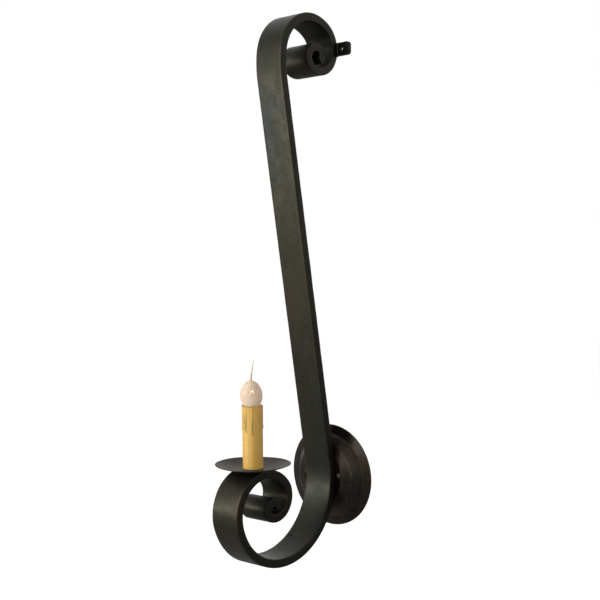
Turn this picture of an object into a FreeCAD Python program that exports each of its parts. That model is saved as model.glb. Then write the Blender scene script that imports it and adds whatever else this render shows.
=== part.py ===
import FreeCAD, Part
import Sketcher
import math
import os
import re

# A wrought-iron wall sconce with one electric candle, in millimetres.
# X runs along the wall, +Y into it and +Z up. The origin is on the wall, at the centre of the junction box
# that the light hangs on.

SIZES = [
    # the forged bar: one flat bar, scrolled at both ends (radii are those of its centre line)
    ("bar_width", 40.0),
    ("bar_thickness", 10.0),
    ("bar_straight", 474.0),
    ("bar_edge_round", 0.8),
    ("seat_depth", 0.5),
    ("foot_radius_one", 88.0),
    ("foot_turn_one", 122.0),
    ("foot_radius_two", 70.6),
    ("foot_turn_two", 50.3),
    ("foot_radius_three", 44.7),
    ("foot_turn_three", 156.1),
    ("foot_radius_four", 23.2),
    ("foot_turn_four", 149.5),
    ("foot_eye_radius", 9.2),
    ("foot_eye_turn", 200.0),
    ("foot_tip_radius", 5.8),
    ("foot_tip_turn", 78.0),
    ("top_radius_one", 107.0),
    ("top_turn_one", 17.8),
    ("top_radius_two", 51.7),
    ("top_turn_two", 116.0),
    ("top_radius_three", 29.5),
    ("top_turn_three", 162.3),
    ("top_eye_radius", 13.9),
    ("top_eye_turn", 190.0),
    ("top_tip_radius", 7.8),
    ("top_tip_turn", 130.0),
    ("wire_hole_radius", 2.0),
    ("wire_hole_side", 13.0),
    ("wire_hole_turn", 58.0),
    # the strap behind the top scroll
    ("strap_height", 16.0),
    ("strap_thickness", 4.8),
    ("strap_corner", 4.0),
    ("strap_rise", 1.5),
    ("strap_hole_side", 6.0),
    ("strap_hole_edge", 12.1),
    ("strap_hole_radius", 2.4),
    ("weld_leg", 3.2),
    ("weld_length", 17.0),
    # the canopy, the crossbar behind it and their fasteners
    ("canopy_depth", 17.0),
    ("canopy_drop", 3.0),
    ("canopy_sheet", 1.5),
    ("canopy_lip", 1.6),
    ("flange_width", 11.0),
    ("flange_height", 3.6),
    ("step_run", 2.5),
    ("step_margin", 1.0),
    ("step_height", 6.6),
    ("crown_margin", 1.4),
    ("crown_round", 34.0),
    ("crossbar_end", 2.35),
    ("crossbar_height", 19.0),
    ("crossbar_thickness", 1.6),
    ("crossbar_corner", 5.0),
    ("crossbar_hole", 5.2),
    ("box_slot_spacing", 79.4),
    ("box_slot_length", 13.9),
    ("box_slot_radius", 2.2),
    ("canopy_screw_spacing", 50.8),
    ("canopy_screw_radius", 2.05),
    ("canopy_screw_head", 4.2),
    ("canopy_screw_rise", 2.6),
    ("canopy_screw_slot", 1.0),
    ("ground_screw_radius", 2.35),
    ("ground_screw_head", 4.4),
    ("ground_screw_flats", 7.0),
    ("ground_screw_rise", 3.0),
    ("ground_screw_side", 15.0),
    ("bar_bolt_spacing", 19.0),
    ("bar_bolt_radius", 3.17),
    ("bar_bolt_cover", 2.5),
    ("bar_bolt_flats", 11.1),
    ("bar_bolt_head", 4.3),
    ("bar_washer_radius", 5.6),
    ("bar_washer_thickness", 1.6),
    # the drip pan and what clamps it
    ("candle_lead", 2.0),
    ("pan_radius", 44.45),
    ("pan_floor_margin", 1.1),
    ("pan_rise", 5.5),
    ("pan_sheet", 1.2),
    ("nipple_radius", 5.0),
    ("nipple_bore", 3.4),
    ("nipple_overrun", 2.0),
    ("spotface_margin", 0.8),
    ("nut_flats", 14.3),
    ("nut_height", 4.0),
    ("pan_nut_height", 3.0),
    ("washer_radius", 8.4),
    ("washer_thickness", 1.5),
    ("washer_gap", 1.4),
    # the socket on its bracket
    ("collar_radius", 7.2),
    ("collar_height", 5.0),
    ("bracket_sheet", 1.2),
    ("bracket_width", 7.0),
    ("bracket_height", 29.0),
    ("bracket_lap", 8.0),
    ("arm_inset", 0.5),
    ("socket_wall", 2.7),
    ("socket_length", 36.0),
    ("socket_floor", 9.0),
    ("shell_sheet", 0.4),
    ("shell_roll", 0.6),
    ("shell_length", 20.0),
    ("thread_pitch", 2.5),
    ("contact_width", 4.0),
    ("contact_inset", 2.05),
    ("contact_lap", 1.5),
    ("contact_tongue", 3.0),
    ("contact_sheet", 0.5),
    ("contact_lift", 2.2),
    ("rivet_radius", 1.3),
    ("rivet_reach", 2.6),
    ("rivet_head_radius", 2.0),
    ("contact_rivet_radius", 0.9),
    ("contact_rivet_head", 1.4),
    ("rivet_head", 0.6),
    # the candle sleeve
    ("sleeve_wall", 1.3),
    ("sleeve_round", 0.6),
    ("drip_radius", 1.7),
    ("drip_run_radius", 1.45),
    ("drip_start", 2.0),
    ("drip_sink", 1.1),
    # the bulb
    ("cap_radius", 5.85),
    ("cap_sheet", 0.35),
    ("cap_length", 16.0),
    ("cap_groove", 0.45),
    ("insulator_length", 1.6),
    ("tip_radius", 2.1),
    ("tip_height", 0.7),
    ("tip_land", 0.4),
    ("globe_radius", 12.4),
    ("globe_wall", 0.8),
    ("neck_sunk", 8.0),
    ("globe_height", 31.0),
    ("globe_lower", 15.5),
    ("globe_upper", 16.7),
    ("coat_wall", 0.65),
    ("coat_skirt", 15.0),
    ("spout_radius", 1.9),
    ("spout_end_radius", 0.5),
    ("spout_length", 25.0),
    ("stem_radius", 2.2),
    ("stem_length", 17.0),
    ("stem_pinch", 0.7),
    ("lead_inset", 1.0),
    ("lead_radius", 0.25),
    ("lead_length", 24.0),
    ("filament_radius", 0.2),
    # clearances
    ("hole_clearance", 0.25),
    ("hole_spare", 0.5),
    ("thread_clearance", 0.05),
    ("lift_gap", 0.3),
    ("seal_gap", 0.05),
    ("cap_gap", 0.2),
    ("shell_gap", 0.15),
    ("sleeve_gap", 0.7),
    ("rim_gap", 0.9),
    ("neck_gap", 0.25),
]

# Heights on the candle's axis, each in words that name the sizes it follows from
FLOOR = "seat_level + pan_sheet"
SLEEVE_FOOT = FLOOR + " + lift_gap"
BRACKET_FOOT = FLOOR + " + pan_nut_height"
NIPPLE_FOOT = "under_level - washer_thickness - nut_height - nipple_overrun"
NIPPLE_HEAD = BRACKET_FOOT + " + collar_height - bracket_sheet"
SOCKET_FOOT = BRACKET_FOOT + " + bracket_height - bracket_lap"
RIVET_LEVEL = SOCKET_FOOT + " + bracket_lap / 2"
SHELL_FOOT = SOCKET_FOOT + " + socket_floor"
TIP_FOOT = SHELL_FOOT + " + contact_lift + contact_sheet + seal_gap"
CAP_FOOT = TIP_FOOT + " + tip_height + insulator_length"
CAP_TOP = CAP_FOOT + " + cap_length"
LEAD_FOOT = CAP_TOP + " - neck_sunk + stem_length"

# Sizes that follow from others: what covers, holds or clears a piece grows with it
COAT_RADIUS = "(globe_radius + seal_gap + coat_wall)"
COAT_LOWER = "(globe_lower + seal_gap + coat_wall)"
RIM_SHARE = "(sleeve_radius - sleeve_wall - rim_gap) / %s" % COAT_RADIUS
FOLLOWING = [
    ("strap_hole_spacing", "bar_width + 2 * strap_hole_side"),
    ("strap_length", "strap_hole_spacing + 2 * strap_hole_edge"),
    ("crossbar_length", "box_slot_spacing + box_slot_length + 2 * crossbar_end"),
    ("step_radius", "crossbar_length / 2 + step_margin"),
    ("flange_radius", "step_radius + step_run"),
    ("canopy_radius", "flange_radius + flange_width"),
    ("crown_radius", "canopy_screw_spacing / 2 + canopy_screw_head + crown_margin"),
    ("bar_bolt_reach", "bar_thickness - seat_depth - bar_bolt_cover"),
    ("spotface_radius", "washer_radius + spotface_margin"),
    ("shell_bore", "cap_radius + cap_gap"),
    ("socket_bore", "shell_bore + shell_roll + shell_sheet + shell_gap"),
    ("socket_radius", "socket_bore + socket_wall"),
    ("flat_place", "socket_radius - arm_inset - bracket_sheet"),
    ("contact_side", "shell_bore - contact_inset"),
    ("sleeve_radius", "socket_radius + sleeve_gap + sleeve_wall"),
    ("pan_floor_radius", "sleeve_radius + pan_floor_margin"),
    ("neck_radius", "cap_radius - cap_sheet - cap_groove - neck_gap"),
    ("lead_spacing", "2 * (neck_radius - globe_wall - lead_inset)"),
    ("sleeve_length", "%s + globe_height - %s * sqrt(1 - min(1; %s) ^ 2) - (%s)"
     % (CAP_TOP, COAT_LOWER, RIM_SHARE, SLEEVE_FOOT)),
]

# The wax drips on the sleeve: (angle seen from above, from +X towards +Y in degrees; length down from the rim)
DRIPS = [(-168, 27), (-138, 28), (-91, 29), (-48, 32), (-2, 23), (42, 26), (70, 30), (98, 24), (128, 31),
         (160, 25)]

doc = FreeCAD.newDocument("torch_sconce")
sheet = doc.addObject("Spreadsheet::Sheet", "Sizes")


def write_cell(row, alias, value):
    sheet.set("A%d" % row, alias)
    sheet.set("B%d" % row, repr(float(value)))
    sheet.setAlias("B%d" % row, alias)


for row, (alias, value) in enumerate(SIZES, start=1):
    write_cell(row, alias, value)
doc.recompute()


def size(alias):
    return float(sheet.get(alias))


# ---------------------------------------------------------------- the bar's path, worked out from its sizes

class Arc:
    """One clockwise turn of the bar's centre line in the YZ plane."""

    def __init__(self, start, heading, radius, turn):
        self.radius = radius
        self.turn = turn
        self.first = heading + math.pi / 2
        self.centre = (start[0] - radius * math.cos(self.first), start[1] - radius * math.sin(self.first))
        self.heading = heading - turn

    def point(self, share, radius):
        angle = self.first - self.turn * share
        return (self.centre[0] + radius * math.cos(angle), self.centre[1] + radius * math.sin(angle))


def chain(start, heading, steps):
    arcs = []
    for radius, turn in steps:
        arcs.append(Arc(start, heading, size(radius), math.radians(size(turn))))
        start = arcs[-1].point(1.0, arcs[-1].radius)
        heading = arcs[-1].heading
    return arcs


FOOT_STEPS = [("foot_radius_one", "foot_turn_one"), ("foot_radius_two", "foot_turn_two"),
              ("foot_radius_three", "foot_turn_three"), ("foot_radius_four", "foot_turn_four"),
              ("foot_eye_radius", "foot_eye_turn"), ("foot_tip_radius", "foot_tip_turn")]
TOP_STEPS = [("top_radius_one", "top_turn_one"), ("top_radius_two", "top_turn_two"),
             ("top_radius_three", "top_turn_three"), ("top_eye_radius", "top_eye_turn"),
             ("top_tip_radius", "top_tip_turn")]

half_bar = size("bar_thickness") / 2
foot_centre = (-(size("canopy_depth") - size("seat_depth")) - half_bar - size("foot_radius_one"), 0.0)


def bar_path(lean):
    """The two chains of arcs, up and down from where the straight run meets the foot's first turn."""
    low = (foot_centre[0] + size("foot_radius_one") * math.cos(lean), size("foot_radius_one") * math.sin(lean))
    high = (low[0] - size("bar_straight") * math.sin(lean), low[1] + size("bar_straight") * math.cos(lean))
    top = chain(high, math.pi / 2 + lean, TOP_STEPS)
    foot = chain(low, -math.pi / 2 + lean, FOOT_STEPS)
    return top, foot


# The bar leans away from the wall until the back of its top scroll rests on the strap.
upright_top = bar_path(0.0)[0][2].centre
arm = math.hypot(upright_top[0] - foot_centre[0], upright_top[1])
arm_angle = math.atan2(upright_top[1], upright_top[0] - foot_centre[0])
scroll_back = -size("strap_thickness") + size("seat_depth")
reach_back = scroll_back - half_bar - size("top_radius_three") - foot_centre[0]
bar_lean = math.acos(reach_back / arm) - arm_angle
top_arcs, foot_arcs = bar_path(bar_lean)
crest = foot_arcs[2]

DERIVED = [
    ("strap_level", top_arcs[2].centre[1] + size("strap_rise")),
    ("candle_place", crest.centre[0] - size("candle_lead")),
    ("seat_level", crest.centre[1] + crest.radius + half_bar - size("seat_depth")),
    ("under_level", crest.centre[1] + crest.radius - half_bar),
]
for row, (alias, value) in enumerate(DERIVED, start=len(SIZES) + 1):
    write_cell(row, alias, value)
doc.recompute()
ALIASES = {alias for alias, value in SIZES + DERIVED + FOLLOWING}

def bound(words):
    """An expression over the sheet, from words that name its cells."""
    return re.sub(r"[a-z_]+", lambda word: ("Sizes." if word.group() in ALIASES else "") + word.group(), words)


def number(words):
    return float(sheet.evalExpression(bound(words)))


for row, (alias, words) in enumerate(FOLLOWING, start=len(SIZES) + len(DERIVED) + 1):
    write_cell(row, alias, number(words))
    doc.recompute()


# ---------------------------------------------------------------- helpers

def bind(item, **sizes):
    for name, words in sizes.items():
        item.setExpression(name, bound(words))


def place(item, x="0", y="0", z="0", up=(0, 0, 1)):
    item.Placement = FreeCAD.Placement(FreeCAD.Vector(number(x), number(y), number(z)),
                                       FreeCAD.Rotation(FreeCAD.Vector(0, 0, 1), FreeCAD.Vector(*up)))
    bind(item, **{"Placement.Base.x": x, "Placement.Base.y": y, "Placement.Base.z": z})
    return item


def primitive(kind, name, **sizes):
    item = doc.addObject("Part::" + kind, name)
    bind(item, **sizes)
    return item


def box(name, length, width, height, x, y, z):
    return place(primitive("Box", name, Length=length, Width=width, Height=height), x, y, z)


def rod(name, radius, height, x="0", y="0", z="0", up=(0, 0, 1)):
    return place(primitive("Cylinder", name, Radius=radius, Height=height), x, y, z, up)


def hexagon(name, flats, height, x="0", y="0", z="0", up=(0, 0, 1)):
    item = primitive("Prism", name, Circumradius="(%s) / sqrt(3)" % flats, Height=height)
    item.Polygon = 6
    return place(item, x, y, z, up)


def fuse(name, pieces):
    item = doc.addObject("Part::MultiFuse", name)
    item.Shapes = pieces
    item.Refine = True
    return item


def cut(name, base, tools):
    item = doc.addObject("Part::Cut", name)
    item.Base = base
    item.Tool = tools[0] if len(tools) == 1 else fuse(name + "_tools", tools)
    item.Refine = True
    return item


def group(name, pieces):
    item = doc.addObject("Part::Compound", name)
    item.Links = pieces
    return item


def origin_plane(body, role):
    return next(feature for feature in body.Origin.OriginFeatures if feature.Role == role)


def new_sketch(body, name, role):
    sketch = body.newObject("Sketcher::SketchObject", name)
    sketch.AttachmentSupport = (origin_plane(body, role), [""])
    sketch.MapMode = "FlatFace"
    return sketch


def draw(sketch, corners):
    """A closed outline whose corners are bound to the sheet: (across, up) or (across, up, radius, side), where
    the radius bends the edge that leaves the corner and side says which side of the edge the centre is on."""
    spots = [FreeCAD.Vector(number(corner[0]), number(corner[1]), 0) for corner in corners]
    for index, corner in enumerate(corners):
        start = spots[index]
        end = spots[(index + 1) % len(spots)]
        if len(corner) == 2:
            sketch.addGeometry(Part.LineSegment(start, end), False)
        else:
            sketch.addGeometry(bend(start, end, number(corner[2]), corner[3]), False)
    for index, corner in enumerate(corners):
        before = index - 1 if index else len(corners) - 1
        curved = len(corner) == 4 and corner[3] < 0
        curved_before = len(corners[before]) == 4 and corners[before][3] < 0
        start_end = 2 if curved else 1
        finish_end = 1 if curved_before else 2
        sketch.addConstraint(Sketcher.Constraint("Coincident", before, finish_end, index, start_end))
        across = sketch.addConstraint(Sketcher.Constraint("DistanceX", -1, 1, index, start_end, spots[index].x))
        sketch.setExpression("Constraints[%d]" % across, bound(corner[0]))
        up = sketch.addConstraint(Sketcher.Constraint("DistanceY", -1, 1, index, start_end, spots[index].y))
        sketch.setExpression("Constraints[%d]" % up, bound(corner[1]))
        if len(corner) == 4:
            radius = sketch.addConstraint(Sketcher.Constraint("Radius", index, number(corner[2])))
            sketch.setExpression("Constraints[%d]" % radius, bound(corner[2]))


def bend(start, end, radius, side):
    """The short arc from start to end with its centre to the left (1) or to the right (-1) of the way there."""
    along = end - start
    half = along.Length / 2
    left = FreeCAD.Vector(-along.y, along.x, 0).normalize()
    centre = (start + end) / 2 + left * (side * math.sqrt(radius ** 2 - half ** 2))
    circle = Part.Circle(centre, FreeCAD.Vector(0, 0, 1), radius)
    first, last = (start, end) if side > 0 else (end, start)
    return Part.ArcOfCircle(circle, circle.parameter(first), circle.parameter(last))


def turned(name, corners, x="0", y="0", z="0", up=(0, 0, 1)):
    """A body turned about its own Z axis from an outline of (radius, height) corners."""
    body = doc.addObject("PartDesign::Body", name)
    sketch = new_sketch(body, name + "_outline", "XZ_Plane")
    draw(sketch, corners)
    turn = body.newObject("PartDesign::Revolution", name + "_turn")
    turn.Profile = sketch
    turn.ReferenceAxis = (origin_plane(body, "Z_Axis"), [""])
    turn.Angle = 360.0
    doc.recompute()
    return place(body, x, y, z, up)


def tube(name, radius, bore, height, x="0", y="0", z="0"):
    return turned(name, [(bore, "0"), (radius, "0"), (radius, height), (bore, height)], x, y, z)


# Pieces on the candle's axis share its place in Y. A piece laid down points its own Z axis out from the wall or
# sideways along it.
ON_AXIS = "candle_place"
OUT = (0, -1, 0)
SIDEWAYS = (1, 0, 0)


# ---------------------------------------------------------------- the forged bar

def scroll_bar():
    blank = doc.addObject("PartDesign::Body", "scroll_bar_blank")
    outline = new_sketch(blank, "scroll_bar_outline", "YZ_Plane")
    outside = half_bar
    edges = []
    for arcs in (top_arcs, foot_arcs):
        for offset in (outside, -outside):
            for arc in arcs:
                spots = [arc.point(share, arc.radius + offset) for share in (0.0, 0.5, 1.0)]
                edges.append(Part.Arc(*[FreeCAD.Vector(spot[0], spot[1], 0) for spot in spots]))
        tip = arcs[-1]
        ends = [tip.point(1.0, tip.radius + offset) for offset in (outside, -outside)]
        edges.append(Part.LineSegment(*[FreeCAD.Vector(end[0], end[1], 0) for end in ends]))
    for top_side, foot_side in ((outside, -outside), (-outside, outside)):
        high = top_arcs[0].point(0.0, top_arcs[0].radius + top_side)
        low = foot_arcs[0].point(0.0, foot_arcs[0].radius + foot_side)
        edges.append(Part.LineSegment(FreeCAD.Vector(high[0], high[1], 0), FreeCAD.Vector(low[0], low[1], 0)))
    outline.addGeometry(edges, False)
    pad = blank.newObject("PartDesign::Pad", "scroll_bar_pad")
    pad.Profile = outline
    pad.SideType = "Symmetric"
    bind(pad, Length="bar_width")
    doc.recompute()
    sides = [index for index, edge in enumerate(pad.Shape.Edges, start=1) if runs_along_side(edge)]
    softened = blank.newObject("PartDesign::Fillet", "scroll_bar_edges")
    softened.Base = (pad, ["Edge%d" % index for index in sides])
    bind(softened, Radius="bar_edge_round")
    doc.recompute()

    side = "bar_width + 2"
    wall_seat = box("bar_wall_seat", side, "bar_thickness", "foot_radius_one", "-bar_width / 2 - 1",
                    "-canopy_depth", "-foot_radius_one / 2")
    strap_seat = box("bar_strap_seat", side, "bar_thickness", "top_radius_three", "-bar_width / 2 - 1",
                     "-strap_thickness", "strap_level - strap_rise - top_radius_three / 2")
    pan_seat = box("bar_pan_seat", side, "2 * pan_floor_radius", "bar_thickness / 2", "-bar_width / 2 - 1",
                   "candle_place - pan_floor_radius", "seat_level")
    tools = [wall_seat, strap_seat, pan_seat]
    tools.append(rod("bar_nipple_hole", "nipple_radius + hole_clearance", "2 * bar_thickness", "0", ON_AXIS,
                     "seat_level - 1.5 * bar_thickness"))
    tools.append(rod("bar_spotface", "spotface_radius", "bar_thickness", "0", ON_AXIS,
                     "under_level - bar_thickness"))
    for side_name, sign in (("left", "-"), ("right", "")):
        tools.append(rod("bar_bolt_hole_" + side_name, "bar_bolt_radius + thread_clearance",
                         "bar_bolt_reach + hole_spare", sign + "bar_bolt_spacing / 2", "-canopy_depth", "0",
                         OUT))
    wire_hole = rod("bar_wire_hole", "wire_hole_radius", "2 * bar_thickness", "-wire_hole_side")
    first = foot_arcs[0]
    down = -math.radians(size("wire_hole_turn"))
    inner = first.radius - size("bar_thickness")
    wire_hole.Placement = FreeCAD.Placement(
        FreeCAD.Vector(-size("wire_hole_side"), first.centre[0] + inner * math.cos(down),
                       first.centre[1] + inner * math.sin(down)),
        FreeCAD.Rotation(FreeCAD.Vector(0, 0, 1), FreeCAD.Vector(0, math.cos(down), math.sin(down))))
    wire_hole.setExpression("Placement.Base.y", None)
    wire_hole.setExpression("Placement.Base.z", None)
    tools.append(wire_hole)
    return cut("scroll_bar", blank, tools)


def runs_along_side(edge):
    """Whether an edge runs along one of the bar's two flat sides, and isn't the short end of a tip."""
    half = size("bar_width") / 2
    on_side = all(abs(abs(vertex.Point.x) - half) < 1e-6 for vertex in edge.Vertexes)
    one_side = edge.Vertexes[0].Point.x * edge.Vertexes[-1].Point.x > 0
    tip_end = abs(edge.Length - size("bar_thickness")) < 1e-6
    return on_side and one_side and not tip_end


# ---------------------------------------------------------------- the strap behind the top scroll

def top_wall_strap():
    plate = box("strap_plate", "strap_length", "strap_thickness", "strap_height", "-strap_length / 2",
                "-strap_thickness", "strap_level - strap_height / 2")
    doc.recompute()
    rounded = doc.addObject("Part::Fillet", "strap_rounded")
    rounded.Base = plate
    corner = size("strap_corner")
    rounded.Edges = [(index, corner, corner) for index in edges_along(plate.Shape, "y")]
    pieces = [rounded]
    for side_name, sign in (("left", -1), ("right", 1)):
        pieces.append(weld("strap_weld_" + side_name, sign))
    plate_and_welds = fuse("strap_and_welds", pieces)
    holes = [rod("strap_hole_" + side_name, "strap_hole_radius", "2 * strap_thickness",
                 sign + "strap_hole_spacing / 2", "strap_thickness / 2",
                 "strap_level", OUT) for side_name, sign in (("left", "-"), ("right", ""))]
    return cut("top_wall_strap", plate_and_welds, holes)


def weld(name, sign):
    """A fillet weld in the corner between the strap's face and the bar's side."""
    side = "bar_width / 2" if sign > 0 else "-bar_width / 2"
    corners = [(side, "-strap_thickness"), (side, "-strap_thickness - weld_leg"),
               ("%s %s weld_leg" % (side, "+" if sign > 0 else "-"), "-strap_thickness")]
    body = doc.addObject("PartDesign::Body", name)
    sketch = new_sketch(body, name + "_outline", "XY_Plane")
    draw(sketch, corners)
    pad = body.newObject("PartDesign::Pad", name + "_run")
    pad.Profile = sketch
    bind(pad, Length="weld_length")
    doc.recompute()
    return place(body, z="strap_level - weld_length / 2 - strap_rise")


def edges_along(shape, axis):
    """The numbers of a box's edges that run along one axis."""
    found = []
    for index, edge in enumerate(shape.Edges, start=1):
        way = edge.Vertexes[-1].Point - edge.Vertexes[0].Point
        if abs(getattr(way, axis)) > 0.99 * way.Length:
            found.append(index)
    return found


# ---------------------------------------------------------------- the canopy and what is behind it

def wall_canopy():
    """A stepped dish of even sheet: a low flange, a step and a domed crown with a flat face."""
    inner = "- canopy_sheet"
    corners = [("canopy_radius", "0"),
               ("canopy_radius", "canopy_lip"),
               ("flange_radius", "flange_height"),
               ("step_radius", "step_height", "crown_round", 1),
               ("crown_radius", "canopy_depth"),
               ("0", "canopy_depth"),
               ("0", "canopy_depth" + inner),
               ("crown_radius" + inner + "/ 2", "canopy_depth" + inner, "crown_round" + inner, -1),
               ("step_radius" + inner, "step_height" + inner),
               ("flange_radius" + inner, "flange_height" + inner),
               ("canopy_radius" + inner, "0")]
    dish = turned("canopy_dish", corners, z="-canopy_drop", up=OUT)
    holes = []
    for side_name, sign in (("left", "-"), ("right", "")):
        holes.append(rod("canopy_screw_hole_" + side_name, "canopy_screw_radius + hole_clearance",
                         "2 * canopy_sheet", sign + "canopy_screw_spacing / 2",
                         "-canopy_depth + 1.5 * canopy_sheet", "0", OUT))
        holes.append(rod("canopy_bolt_hole_" + side_name, "bar_bolt_radius + hole_clearance",
                         "2 * canopy_sheet", sign + "bar_bolt_spacing / 2",
                         "-canopy_depth + 1.5 * canopy_sheet", "0", OUT))
    return cut("wall_canopy", dish, holes)


def canopy_crossbar():
    plate = box("crossbar_plate", "crossbar_length", "crossbar_thickness", "crossbar_height",
                "-crossbar_length / 2", "-crossbar_thickness", "-crossbar_height / 2")
    doc.recompute()
    rounded = doc.addObject("Part::Fillet", "crossbar_rounded")
    rounded.Base = plate
    corner = size("crossbar_corner")
    rounded.Edges = [(index, corner, corner) for index in edges_along(plate.Shape, "y")]
    deep = "2 * crossbar_thickness"
    back = "crossbar_thickness / 2"
    holes = [rod("crossbar_centre_hole", "crossbar_hole", deep, "0", back, "0", OUT),
             rod("crossbar_ground_hole", "ground_screw_radius + thread_clearance", deep,
                 "-ground_screw_side", back, "0", OUT)]
    for side_name, sign in (("left", "-"), ("right", "")):
        holes.append(rod("crossbar_screw_hole_" + side_name, "canopy_screw_radius + thread_clearance", deep,
                         sign + "canopy_screw_spacing / 2", back, "0", OUT))
        middle = sign + "box_slot_spacing / 2"
        for end_name, end_sign in (("inner", "-"), ("outer", "+")):
            holes.append(rod("crossbar_slot_%s_%s" % (side_name, end_name), "box_slot_radius", deep,
                             "%s %s (box_slot_length / 2 - box_slot_radius)" % (middle, end_sign), back, "0",
                             OUT))
        holes.append(box("crossbar_slot_" + side_name, "box_slot_length - 2 * box_slot_radius", deep,
                         "2 * box_slot_radius", middle + " - (box_slot_length / 2 - box_slot_radius)",
                         "-1.5 * crossbar_thickness", "-box_slot_radius"))
    return cut("canopy_crossbar", rounded, holes)


def canopy_screw(side_name, sign):
    head = turned("canopy_screw_head_" + side_name,
                  [("0", "0"), ("canopy_screw_head", "0"),
                   ("canopy_screw_head", "canopy_screw_rise / 4", "1.2 * canopy_screw_head", 1),
                   ("0", "canopy_screw_rise")],
                  sign + "canopy_screw_spacing / 2", "-canopy_depth", "0", OUT)
    shank = rod("canopy_screw_shank_" + side_name, "canopy_screw_radius", "canopy_depth - crossbar_thickness / 4",
                sign + "canopy_screw_spacing / 2", "-crossbar_thickness / 4", "0", OUT)
    slot = box("canopy_screw_slot_" + side_name, "2 * canopy_screw_head", "canopy_screw_rise",
               "canopy_screw_slot", sign + "canopy_screw_spacing / 2 - canopy_screw_head",
               "-canopy_depth - 1.5 * canopy_screw_rise", "-canopy_screw_slot / 2")
    return cut("canopy_screw_" + side_name, fuse("canopy_screw_whole_" + side_name, [head, shank]), [slot])


def ground_screw():
    head = hexagon("ground_screw_head", "ground_screw_flats", "ground_screw_rise", "-ground_screw_side",
                   "-crossbar_thickness", "0", OUT)
    flange = rod("ground_screw_flange", "ground_screw_head", "ground_screw_rise / 4", "-ground_screw_side",
                 "-crossbar_thickness", "0", OUT)
    shank = rod("ground_screw_shank", "ground_screw_radius", "0.9 * crossbar_thickness", "-ground_screw_side",
                "-0.1 * crossbar_thickness", "0", OUT)
    return fuse("ground_screw", [head, flange, shank])


def bar_bolt(side_name, sign):
    x = sign + "bar_bolt_spacing / 2"
    head_foot = "-(canopy_depth - canopy_sheet - bar_washer_thickness - bar_bolt_head)"
    head = hexagon("bar_bolt_head_" + side_name, "bar_bolt_flats", "bar_bolt_head", x, head_foot, "0", OUT)
    shank = rod("bar_bolt_shank_" + side_name, "bar_bolt_radius",
                "bar_bolt_head + bar_washer_thickness + canopy_sheet + bar_bolt_reach", x, head_foot, "0",
                OUT)
    return fuse("bar_bolt_" + side_name, [head, shank])


def spring_washer(name, radius, bore, thickness, x="0", y="0", z="0", up=(0, 0, 1)):
    """A ring of square wire, split once."""
    ring = turned(name + "_ring", [(bore, "0"), (radius, "0"), (radius, thickness), (bore, thickness)])
    split = box(name + "_split", radius, "washer_gap", "3 * (%s)" % thickness, "0", "-washer_gap / 2",
                "-(%s)" % thickness)
    return place(cut(name, ring, [split]), x, y, z, up)


def bar_bolt_washer(side_name, sign):
    return spring_washer("bar_bolt_washer_" + side_name, "bar_washer_radius", "bar_bolt_radius + hole_clearance",
                         "bar_washer_thickness", sign + "bar_bolt_spacing / 2",
                         "-(canopy_depth - canopy_sheet - bar_washer_thickness)", "0", OUT)


# ---------------------------------------------------------------- the drip pan and what clamps it

def drip_pan():
    """A shallow saucer: a flat floor, then one even curve up to a rounded rim."""
    run = "(pan_radius - pan_floor_radius)"
    bowl = "(%s ^ 2 + pan_rise ^ 2) / (2 * pan_rise)" % run
    rim = "pan_sheet * 0.6"
    return turned("drip_pan", [("nipple_radius + hole_clearance", "0"),
                               ("pan_floor_radius", "0", bowl, 1),
                               ("pan_radius", "pan_rise", rim, 1),
                               ("pan_radius", "pan_rise + pan_sheet", bowl, -1),
                               ("pan_floor_radius", "pan_sheet"),
                               ("nipple_radius + hole_clearance", "pan_sheet")], y=ON_AXIS, z="seat_level")


def threaded_nipple():
    return tube("threaded_nipple", "nipple_radius", "nipple_bore", "(%s) - (%s)" % (NIPPLE_HEAD, NIPPLE_FOOT),
                y=ON_AXIS, z=NIPPLE_FOOT)


def nut(name, height, z):
    whole = hexagon(name + "_whole", "nut_flats", height, "0", ON_AXIS, z)
    bore = rod(name + "_bore", "nipple_radius + thread_clearance", "3 * (%s)" % height, "0", ON_AXIS,
               "%s - (%s)" % (z, height))
    return cut(name, whole, [bore])


def nipple_washer():
    return spring_washer("nipple_washer", "washer_radius", "nipple_radius + hole_clearance", "washer_thickness",
                         y=ON_AXIS, z="under_level - washer_thickness")


# ---------------------------------------------------------------- the socket on its bracket

def socket_bracket():
    """A stirrup of sheet: a tapped collar on a base strip, and two arms that lap the socket's flats."""
    outer = "(flat_place + bracket_sheet)"
    pieces = [box("bracket_base", "2 * " + outer, "bracket_width", "bracket_sheet", "-" + outer,
                  "candle_place - bracket_width / 2", BRACKET_FOOT),
              rod("bracket_collar", "collar_radius", "collar_height", "0", ON_AXIS, BRACKET_FOOT)]
    for side_name, x in (("left", "-" + outer), ("right", "flat_place")):
        pieces.append(box("bracket_arm_" + side_name, "bracket_sheet", "bracket_width", "bracket_height", x,
                          "candle_place - bracket_width / 2", BRACKET_FOOT))
    holes = [rod("bracket_thread", "nipple_radius + thread_clearance", "3 * collar_height", "0", ON_AXIS,
                 BRACKET_FOOT + " - collar_height"),
             rivet_hole("bracket_rivet_hole")]
    return cut("socket_bracket", fuse("bracket_whole", pieces), holes)


def rivet_hole(name):
    return rod(name, "rivet_radius + thread_clearance", "4 * socket_radius", "-2 * socket_radius", ON_AXIS,
               RIVET_LEVEL, SIDEWAYS)


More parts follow.
